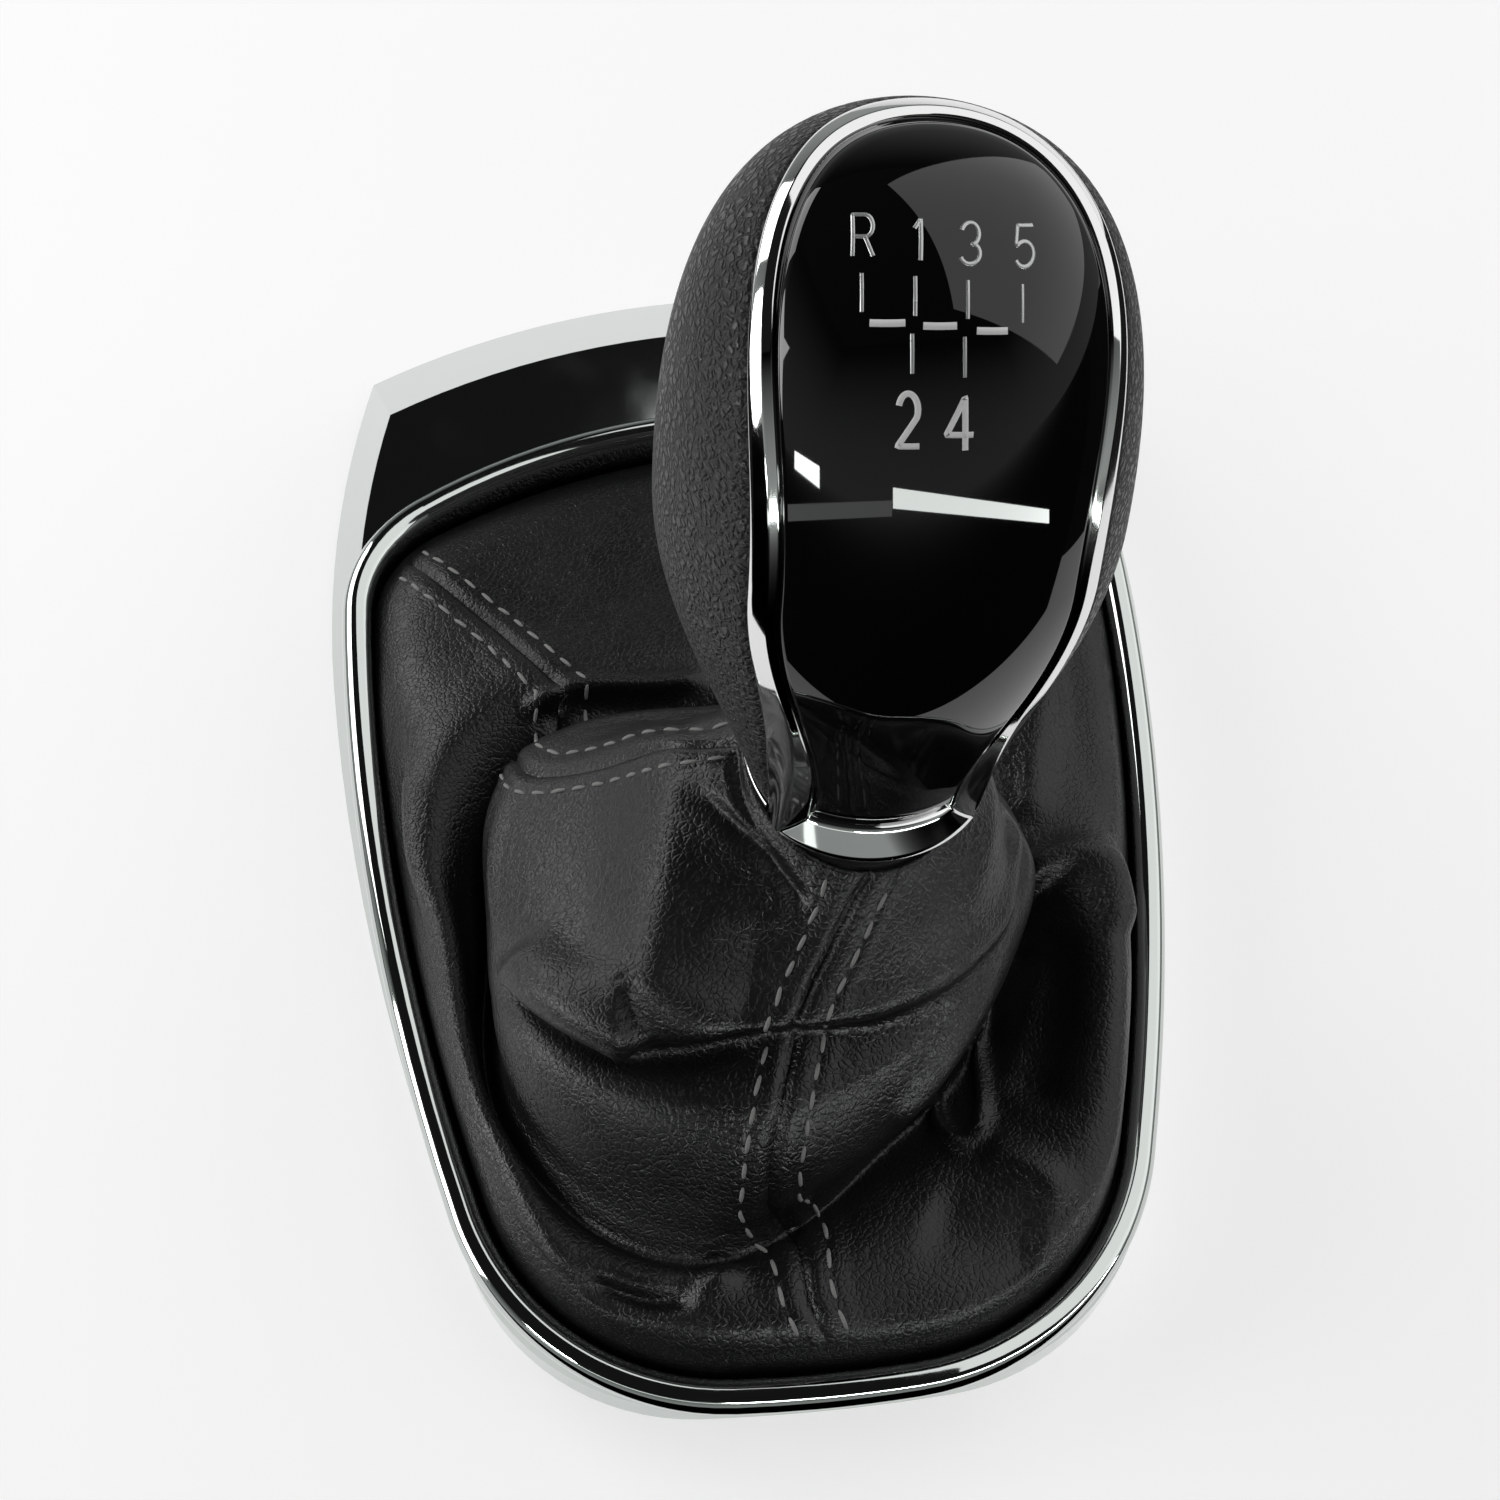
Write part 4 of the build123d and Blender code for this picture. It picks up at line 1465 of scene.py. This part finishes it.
    def fold_points(self, angle: np.ndarray) -> np.ndarray:
        """Points where rays from the boot's centre cross the fold lines.

        Args:
            angle: Angles in degrees.

        Returns:
            Fold points from the hem to the lip, one row of them for each angle.
        """
        turn = np.radians(angle)
        edge = self.around(self.hem, angle)
        roll, bulge = self.around(self.roll_reach, angle), self.around(self.bulge_reach, angle)
        crease, shoulder = self.around(self.crease_reach, angle), self.around(self.shoulder_height, angle)
        height, puff = self.around(self.crease_height, angle), self.around(self.puff_reach, angle)
        top, undercut = self.around(self.roll_height, angle), self.around(self.bulge_undercut, angle)
        valley = self.around(self.valley_height, self.arched(angle))
        flare = self.around(self.foot_flare, angle)
        inset = np.minimum(self.shoulder_inset, (edge - roll) / self.inset_parts)
        swell = self.bulge_height
        tier = height - self.tier_drop
        puff_base = crease - (crease - self.neck_radius) * self.puff_share
        on_deck = [
            (edge, self.hem_height),
            (edge, np.minimum(0.0, shoulder - self.shoulder_inset)),
            (edge - inset, shoulder),
            (edge + (roll - edge) * self.slope_reach, shoulder + (top - shoulder) * self.slope_rise),
            (roll, top),
            (roll + (bulge + flare - roll) * self.dip_reach, top + (valley - top) * self.dip_drop),
            (bulge + flare, valley),
            (bulge + flare / 2 - undercut, valley + (swell - valley) * self.flank_rise),
            (bulge, swell),
            (bulge + (crease - bulge) * self.tier_reach, swell + (tier - swell) * self.tier_rise),
            (crease, height),
            (puff_base + puff, height + self.puff_rise + puff / 2),
        ]
        points = []
        for reach, lift in on_deck:
            x, y = self.centre[0] + reach * np.cos(turn), self.centre[1] + reach * np.sin(turn)
            points.append(self.deck.world(np.stack([x, y, np.broadcast_to(lift, x.shape)], axis=-1)))
        rise = self.knob.base(self.knob.radius(np.zeros_like(turn)) * np.sin(turn))
        lip = np.maximum(self.neck_radius, self.knob.radius(rise) + self.lip_flare)
        neck = np.full_like(turn, self.neck_radius)
        throat = self.neck_points(angle, neck + self.throat_flare, self.throat_drop)
        points += [(points[-1] + throat) / 2, throat]
        points.append(self.neck_points(angle, neck + self.neck_flare, self.neck_drop))
        points.append(self.neck_points(angle, lip, self.lip_drop))
        return np.stack(points, axis=1)

    def base(self, angle: np.ndarray, place: np.ndarray) -> np.ndarray:
        """Points of the plain folded surface.

        Args:
            angle: Angles in degrees.
            place: Places counted in fold lines from the hem.

        Returns:
            Points in millimetres.
        """
        folds = self.fold_points(angle)
        steps = np.diff(folds, axis=1)
        length = np.linalg.norm(steps, axis=2, keepdims=True)
        heading = np.empty_like(folds)
        before, after = steps[:, :-1], steps[:, 1:]
        low, high = length[:, :-1], length[:, 1:]
        heading[:, 1:-1] = (before * (high / low) + after * (low / high)) / (low + high)
        heading[:, 0], heading[:, -1] = unit(steps[:, 0]), unit(steps[:, -1])
        k = np.clip(np.floor(place).astype(int), 0, folds.shape[1] - 2)
        s = (place - k)[:, None]
        row = np.arange(len(k))
        span = length[row, k]
        leave, arrive = heading[row, k] * span, heading[row, k + 1] * span
        share = s * s * (3 - 2 * s)
        line = folds[row, k] * (1 - share) + folds[row, k + 1] * share
        return line + leave * (s * (1 - s) ** 2) - arrive * (s * s * (1 - s))

    def normals(self, angle: np.ndarray, place: np.ndarray) -> np.ndarray:
        """Outward directions of the plain folded surface.

        Args:
            angle: Angles in degrees.
            place: Places counted in fold lines from the hem.

        Returns:
            Direction at each place.
        """
        above = np.minimum(place + self.probe_place, float(self.last))
        below = np.maximum(place - self.probe_place, 0.0)
        across = self.base(angle + self.probe_turn, place) - self.base(angle - self.probe_turn, place)
        return unit(np.cross(across, self.base(angle, above) - self.base(angle, below)))


@dataclass(frozen=True)
class Seam:
    """One sewn seam of the boot: its angle, and how far it drifts at each fold line from the hem."""

    angle: float
    drift: tuple[float, ...] = (0.0,)

    def drifts(self, place: np.ndarray) -> np.ndarray:
        """Drift of the seam at the given places."""
        return np.interp(place, np.arange(len(self.drift)), self.drift)


class Fold(Enum):
    """Kinds of folds pressed into the leather."""

    RIDGE = "ridge"
    GROOVE = "groove"
    STEP = "step"


@dataclass(frozen=True)
class FoldMark:
    """One fold of the leather, drawn as a line of pixels in the studio picture.

    The width, the decay behind a step and the fade at both ends are in pixels, the height in millimetres.
    The fold lies between two places, counted in fold lines from the hem.
    """

    kind: Fold
    line: tuple[Pair, ...]
    width: float
    height: float
    low: float
    high: float
    decay: float = 90.0
    fade: float = 30.0
    soft: float = 0.5
    detail: int = 8

    def heights(self, pixels: np.ndarray, place: np.ndarray) -> np.ndarray:
        """Height that the fold adds to the leather.

        Args:
            pixels: Places of the leather's points in the picture.
            place: Their places counted in fold lines from the hem.

        Returns:
            Heights in millimetres.
        """
        drawn = spline(np.array(self.line, float), self.detail * len(self.line))
        step, length, run = np.diff(drawn, axis=0), spacing(drawn), lengths(drawn)
        best = np.full(len(pixels), np.inf)
        side, along = np.zeros(len(pixels)), np.zeros(len(pixels))
        for k in range(len(step)):
            offset = pixels - drawn[k]
            share = np.clip(offset @ step[k] / length[k] ** 2, 0.0, 1.0)
            gap = np.linalg.norm(offset - share[:, None] * step[k], axis=1)
            nearer = gap < best
            turn = np.sign(step[k][0] * offset[:, 1] - step[k][1] * offset[:, 0])
            best = np.where(nearer, gap, best)
            side = np.where(nearer, gap * turn, side)
            along = np.where(nearer, run[k] + share * length[k], along)
        share = side / self.width
        if self.kind is Fold.STEP:
            shape = np.where(side > 0, np.exp(-((side / self.decay) ** 2)), np.maximum(1 + share, 0.0))
        else:
            shape = np.exp(-(share**2))
        shape = shape * ease(along / self.fade) * ease((run[-1] - along) / self.fade)
        layer = ease((place - self.low) / self.soft) * ease((self.high - place) / self.soft)
        return shape * layer * (-self.height if self.kind is Fold.GROOVE else self.height)


def fold_marks() -> dict[str, FoldMark]:
    """Folds that are sharper than the boot's main ones.

    Returns:
        The folds by name, each with its line of pixels, width, height, and lowest and highest place.
    """
    ridge, groove, step = Fold.RIDGE, Fold.GROOVE, Fold.STEP
    flap_crest = ((706, 725), (692, 785), (686, 840), (678, 900), (669, 950), (657, 1005), (644, 1034))
    flap_lip = ((648, 1028), (638, 1038), (612, 1032), (570, 1010), (530, 982), (500, 955))
    under_flap = ((500, 968), (545, 1005), (600, 1034), (650, 1048), (700, 1040), (755, 1024))
    chin_groove = ((701, 791), (760, 850), (796, 896), (812, 915))
    flap_wave = ((683, 935), (740, 925), (800, 905))
    tongue_left = ((976, 985), (979, 1040), (984, 1090), (980, 1125))
    tongue_tip = ((966, 1144), (952, 1142), (936, 1115), (924, 1078))
    arch = ((1010, 950), (1018, 900), (1042, 866), (1080, 850), (1110, 860), (1122, 885), (1126, 940))
    arch_hollow = ((1040, 925), (1048, 990), (1040, 1060), (1025, 1110))
    right_roll = ((1066, 600), (1045, 700), (1035, 760), (1030, 830))
    left_roll = ((404, 760), (410, 850), (436, 900), (468, 1033), (500, 1125), (529, 1201), (576, 1282))
    front_groove = ((576, 1282), (620, 1296), (665, 1300), (702, 1288))
    front_pucker = ((705, 1258), (722, 1280), (732, 1302))
    back_roll = ((518, 716), (540, 702), (570, 689), (638, 686), (712, 678))
    back_groove = ((530, 732), (580, 712), (640, 709), (705, 705))
    bulge_edge = ((975, 790), (1005, 830), (1021, 866), (1012, 925), (985, 990), (945, 1058), (890, 1135))
    tongue_fold = ((972, 1142), (1036, 1172), (1075, 1205))
    front_hollow = ((920, 1215), (990, 1240), (1050, 1245))
    return {
        "flap_crest": FoldMark(step, flap_crest, 85, 3.8, 9.8, 14.3, decay=60, fade=48),
        "flap_lip": FoldMark(step, flap_lip, 20, 3.2, 8.8, 13.0, decay=38, fade=30),
        "chin_groove": FoldMark(groove, chin_groove, 9, 1.2, 11.5, 14.6),
        "flap_wave": FoldMark(ridge, flap_wave, 20, 0.7, 11.2, 14.0),
        "under_flap": FoldMark(groove, under_flap, 22, 1.8, 7.3, 10.1),
        "tongue": FoldMark(ridge, tongue_left + tongue_tip, 7, 1.7, 3.6, 8.2),
        "arch": FoldMark(ridge, arch, 13, 1.6, 2.5, 7.8),
        "arch_hollow": FoldMark(groove, arch_hollow, 30, 1.6, 2.6, 7.4, soft=1.8),
        "right_roll": FoldMark(ridge, right_roll, 20, 1.4, 2.6, 7.4),
        "left_roll": FoldMark(ridge, left_roll, 15, 1.0, 2.3, 4.9),
        "front_groove": FoldMark(groove, front_groove, 13, 2.2, 2.0, 5.4),
        "front_pucker": FoldMark(ridge, front_pucker, 20, 1.8, 2.2, 5.6),
        "back_roll": FoldMark(ridge, back_roll, 9, 1.8, 3.2, 5.4),
        "back_groove": FoldMark(groove, back_groove, 16, 1.2, 3.8, 6.8),
        "bulge_edge": FoldMark(ridge, bulge_edge, 9, 1.6, 8.0, 12.0),
        "tongue_fold": FoldMark(ridge, tongue_fold, 18, 1.1, 1.8, 5.8),
        "front_hollow": FoldMark(groove, front_hollow, 34, 1.4, 2.0, 6.0),
    }


@dataclass
class Boot:
    """Leather boot: three sewn panels in two tiers, with their stitches."""

    shape: BootShape
    studio: Studio
    front: Seam = Seam(256.0, (6, 5, 4, 3, 1.5, -1, -3, -5, -6.5, -8, -10, -10, -8, -4, 3, 9))
    left: Seam = Seam(130.0, (0, 0, 1, 2, 4, 10, 15, 18, 20, 22, 23.5, 24.5, 25.5, 26, 27, 28))
    right: Seam = Seam(60.0)
    marks: dict[str, FoldMark] = field(default_factory=fold_marks)
    split: int = 8
    rows_per_line: int = 12
    column_step: float = 0.8
    lower_bend: Pair = (3.5, 12.0)
    upper_bend: Pair = (14.0, 36.0)
    lip_roll: tuple[Pair, ...] = ((0.25, 0.12), (0.4, 0.45), (0.38, 0.85), (0.1, 1.25), (-1.2, 1.4))
    pull: float = 30.0
    seam_low: float = 2.9
    seam_high: float = 3.9
    seam_start: float = 1.5
    seam_lift: float = 0.4
    seam_slope: float = 2.5
    seam_groove: float = 0.8
    groove_width: float = 0.7
    pinch: float = 0.3
    pinch_width: float = 0.8
    stitch_start: float = 2.0
    stitch_end_gap: float = 0.15
    stitch_samples: int = 1500
    stitch_settling: int = 3
    first_stitch: float = 0.6
    stitch_length: float = 3.0
    stitch_vary: Pair = (0.85, 1.12)
    stitch_slant: float = 0.22
    stitch_gap: float = 1.0
    stitch_points: int = 7
    thread_radius: float = 0.3
    thread_tip: float = 0.35
    thread_arch: float = 0.3
    thread_sink: float = 0.22
    thread_sides: int = 8

    def seams(self) -> tuple[Seam, ...]:
        """The three seams."""
        return self.front, self.left, self.right

    def seam_half(self, place: np.ndarray) -> np.ndarray:
        """Distance from a seam to its stitches."""
        return self.seam_low + (self.seam_high - self.seam_low) * place / self.shape.last

    def reach(self, points: np.ndarray) -> np.ndarray:
        """Level distances of points from the boot's centre."""
        return np.linalg.norm(points[:, :2] - np.array(self.shape.centre), axis=1)

    def bent(self, angle: np.ndarray, place: np.ndarray) -> np.ndarray:
        """Angles pulled along by the drifting seams.

        Args:
            angle: Angles in degrees.
            place: Places counted in fold lines from the hem.

        Returns:
            The pulled angles.
        """
        total = angle.astype(float).copy()
        for seam in self.seams():
            total += seam.drifts(place) * np.exp(-((wrapped(angle - seam.angle) / self.pull) ** 2))
        return total

    def surface(self, angle: np.ndarray, place: np.ndarray) -> np.ndarray:
        """Points of the sewn leather.

        Args:
            angle: Angles in degrees.
            place: Places counted in fold lines from the hem.

        Returns:
            Points in millimetres.
        """
        turned = self.bent(angle, place)
        plain = self.shape.base(turned, place)
        normal = self.shape.normals(turned, place)
        height = self.seam_relief(angle, place, plain)
        pixels = self.studio.pixels(plain)
        for mark in self.marks.values():
            height += mark.heights(pixels, place)
        return plain + normal * height[:, None]

    def seam_relief(self, angle: np.ndarray, place: np.ndarray, plain: np.ndarray) -> np.ndarray:
        """Height of the sewn seams above the plain leather.

        Args:
            angle: Angles in degrees.
            place: Places counted in fold lines from the hem.
            plain: Points of the plain surface.

        Returns:
            Heights in millimetres.
        """
        reach = self.reach(plain)
        half = self.seam_half(place)
        height = np.zeros(len(angle))
        for seam in self.seams():
            side = np.abs(np.radians(wrapped(angle - seam.angle)) * reach)
            plateau = self.seam_lift * (1 - ease((side - half) / self.seam_slope))
            groove = self.seam_groove * np.exp(-((side / self.groove_width) ** 2))
            pinch = self.pinch * np.exp(-(((side - half) / self.pinch_width) ** 2))
            height += (plateau - groove - pinch) * ease(place - self.seam_start)
        return height

    def build(self) -> None:
        """Make and dress every panel and the stitches, bake them in place and hide the CAD panels."""
        leather = Leather("boot_leather").material()
        front, left, right = (seam.angle for seam in self.seams())
        bounds = {"left": (left, front), "right": (front - FULL_TURN, right), "rear": (right, left)}
        low_tier, high_tier = (0, self.split), (self.split, self.shape.last)
        lower = [self.panel(f"{name}_panel_lower", ends, low_tier, leather) for name, ends in bounds.items()]
        upper = [self.panel(f"{name}_panel_upper", ends, high_tier, leather) for name, ends in bounds.items()]
        thread = Plain("thread", (0.22, 0.22, 0.215, 1.0), 0.75, mottle=0.1, mottle_size=0.4).material()
        lower_stitches, upper_stitches = self.stitches(thread)
        for piece in [*lower, lower_stitches]:
            self.bend(piece, Body.BEZEL, Body.BOOT, self.lower_bend)
        for piece in [*upper, upper_stitches]:
            self.bend(piece, Body.BOOT, Body.KNOB, self.upper_bend)
        for low, high, node in zip(lower, upper, ("left_boot_panel", "right_boot_panel", "rear_boot_panel")):
            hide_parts(node)
            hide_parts(node)

    def bend(self, piece: Piece, below: Body, above: Body, ends: Pair) -> None:
        """Bake a piece of leather's placement into its mesh, and log the two bodies named for its edges.

        Args:
            piece: The piece.
            below: Body named in the log for its lower edge.
            above: Body named in the log for its upper edge.
            ends: Heights above the deck where the bend starts and ends; not used beyond working out two
                points that nothing uses.
        """
        low, high = (self.shape.deck.world(np.array([*self.shape.centre, height])) * MM for height in ends)
        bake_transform(piece)
        log.info("%s bends between %s and %s", piece.name, below.value, above.value)

    def panel(self, name: str, ends: Pair, lines: tuple[int, int], leather: Material) -> Piece:
        """One tier of one leather panel.

        Args:
            name: Name of the piece.
            ends: First and last angle in degrees.
            lines: Lowest and highest fold line.
            leather: Material of the panel.

        Returns:
            The panel.
        """
        columns = round((ends[1] - ends[0]) / self.column_step) + 1
        rows = (lines[1] - lines[0]) * self.rows_per_line + 1
        place, angle = np.meshgrid(np.linspace(*lines, rows), np.linspace(*ends, columns), indexing="ij")
        points = self.surface(angle.ravel(), place.ravel()).reshape(rows, columns, 3)
        if lines[1] == self.shape.last:
            points = np.concatenate([points, self.lip_rows(points[-1])])
        piece = mesh_object(name, points, grid_faces(len(points), columns), leather)
        return piece

    def lip_rows(self, edge: np.ndarray) -> np.ndarray:
        """Rolled edge of the lip under the knob.

        Args:
            edge: Points along the upper edge of the leather.

        Returns:
            Rows of points that roll inwards from it.
        """
        axis = rotation(self.shape.knob.turn)[:, 2]
        offset = np.array(self.shape.knob.place) - edge
        inward = unit(offset - (offset @ axis)[:, None] * axis)
        return np.stack([edge + axis * lift + inward * depth for lift, depth in self.lip_roll])

    def stitches(self, thread: Material) -> list[Piece]:
        """Thread along both sides of each seam.

        Args:
            thread: Material of the thread.

        Returns:
            The stitches of the lower and of the upper tier.
        """
        tiers: list[tuple[list[np.ndarray], Faces]] = [([], []), ([], [])]
        for seam in self.seams():
            for side in (-1, 1):
                for line, normal, place in self.stitch_lines(seam, side):
                    points, faces = tiers[0 if place < self.split else 1]
                    block = self.thread_points(line, normal)
                    faces += grid_faces(block.shape[0], block.shape[1], True, sum(len(p) for p in points))
                    points.append(block.reshape(-1, 3))
        return [
            mesh_object(name, np.concatenate(points), faces, thread)
            for (points, faces), name in zip(tiers, ("stitches_lower", "stitches_upper"))
        ]

    def stitch_lines(self, seam: Seam, side: int) -> list[tuple[np.ndarray, np.ndarray, float]]:
        """Lines of the stitches along one side of a seam.

        Args:
            seam: The seam.
            side: -1 or 1, for the side of the seam.

        Returns:
            Points, directions away from the leather and the mean place of each stitch.
        """
        place = np.linspace(self.stitch_start, self.shape.last - self.stitch_end_gap, self.stitch_samples)
        angle = np.full_like(place, seam.angle)
        for _ in range(self.stitch_settling):
            reach = self.reach(self.shape.base(self.bent(angle, place), place))
            angle = seam.angle + np.degrees(side * self.seam_half(place) / reach)
        points = self.surface(angle, place)
        normal = self.shape.normals(self.bent(angle, place), place)
        run = lengths(points)
        lines = []
        chance = np.random.default_rng(round(seam.angle) + side)
        lean = np.linspace(-1.0, 1.0, self.stitch_points)[:, None]
        at = self.first_stitch
        while at + self.stitch_length < run[-1]:
            long = self.stitch_length * chance.uniform(*self.stitch_vary)
            slant = chance.uniform(-self.stitch_slant, self.stitch_slant)
            wanted = np.linspace(at, at + long, self.stitch_points)
            line, away = pick(points, run, wanted), unit(pick(normal, run, wanted))
            sideways = unit(np.cross(away, np.gradient(line, axis=0)))
            middle = float(np.interp(at + long / 2, run, place))
            lines.append((line + sideways * (slant * lean), away, middle))
            at += long + self.stitch_gap
        return lines

    def thread_points(self, line: np.ndarray, normal: np.ndarray) -> np.ndarray:
        """Rings of points round one stitch.

        Args:
            line: Points of the stitch on the leather.
            normal: Directions away from the leather.

        Returns:
            Rings of points, one for each point of the stitch.
        """
        arch = np.sqrt(np.sin(math.pi * np.linspace(0.0, 1.0, len(line))).clip(0.0))
        core = line + normal * (self.thread_arch * arch - self.thread_sink)[:, None]
        side = unit(np.cross(normal, np.gradient(line, axis=0)))
        turn = np.linspace(0.0, 2 * math.pi, self.thread_sides, endpoint=False)[None, :, None]
        fat = self.thread_radius * (self.thread_tip + (1 - self.thread_tip) * arch)
        ring = side[:, None, :] * np.cos(turn) + normal[:, None, :] * np.sin(turn)
        return core[:, None, :] + ring * fat[:, None, None]


@dataclass
class Hardware:
    """Inner pieces, dressed as they are."""

    steel: Colour = (0.42, 0.42, 0.43, 1.0)

    def build(self) -> None:
        """Give each inner piece its finish."""
        dress = {
            "knob_core": Plain("core_plastic", (0.02, 0.02, 0.021, 1.0), 0.5),
            "lever_sleeve": Plain("sleeve_plastic", (0.05, 0.05, 0.05, 1.0), 0.45),
            "boot_collar": Plain("collar_plastic", (0.03, 0.03, 0.03, 1.0), 0.5),
            "boot_frame": Plain("frame_plastic", (0.025, 0.025, 0.026, 1.0), 0.55),
            "frame_screws": Plain("screw_steel", (0.5, 0.5, 0.5, 1.0), 0.35, 1.0),
            "console_clips": Plain("clip_steel", self.steel, 0.35, 1.0),
            "lever_clip": Plain("ring_steel", self.steel, 0.35, 1.0),
        }
        for name, finish in dress.items():
            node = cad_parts[name]
            node.data.materials.clear()
            node.data.materials.append(finish.material())
            log.info("%s dressed", name)


def main() -> None:
    """Build the studio and every sub-assembly."""
    logging.basicConfig(level=logging.INFO, format="%(message)s")
    studio = Studio()
    studio.build()
    knob = Knob()
    knob.build()
    Boot(BootShape(knob.shape, Deck()), studio).build()
    Bezel().build()
    Hardware().build()


if __name__ == "__main__":
    main()
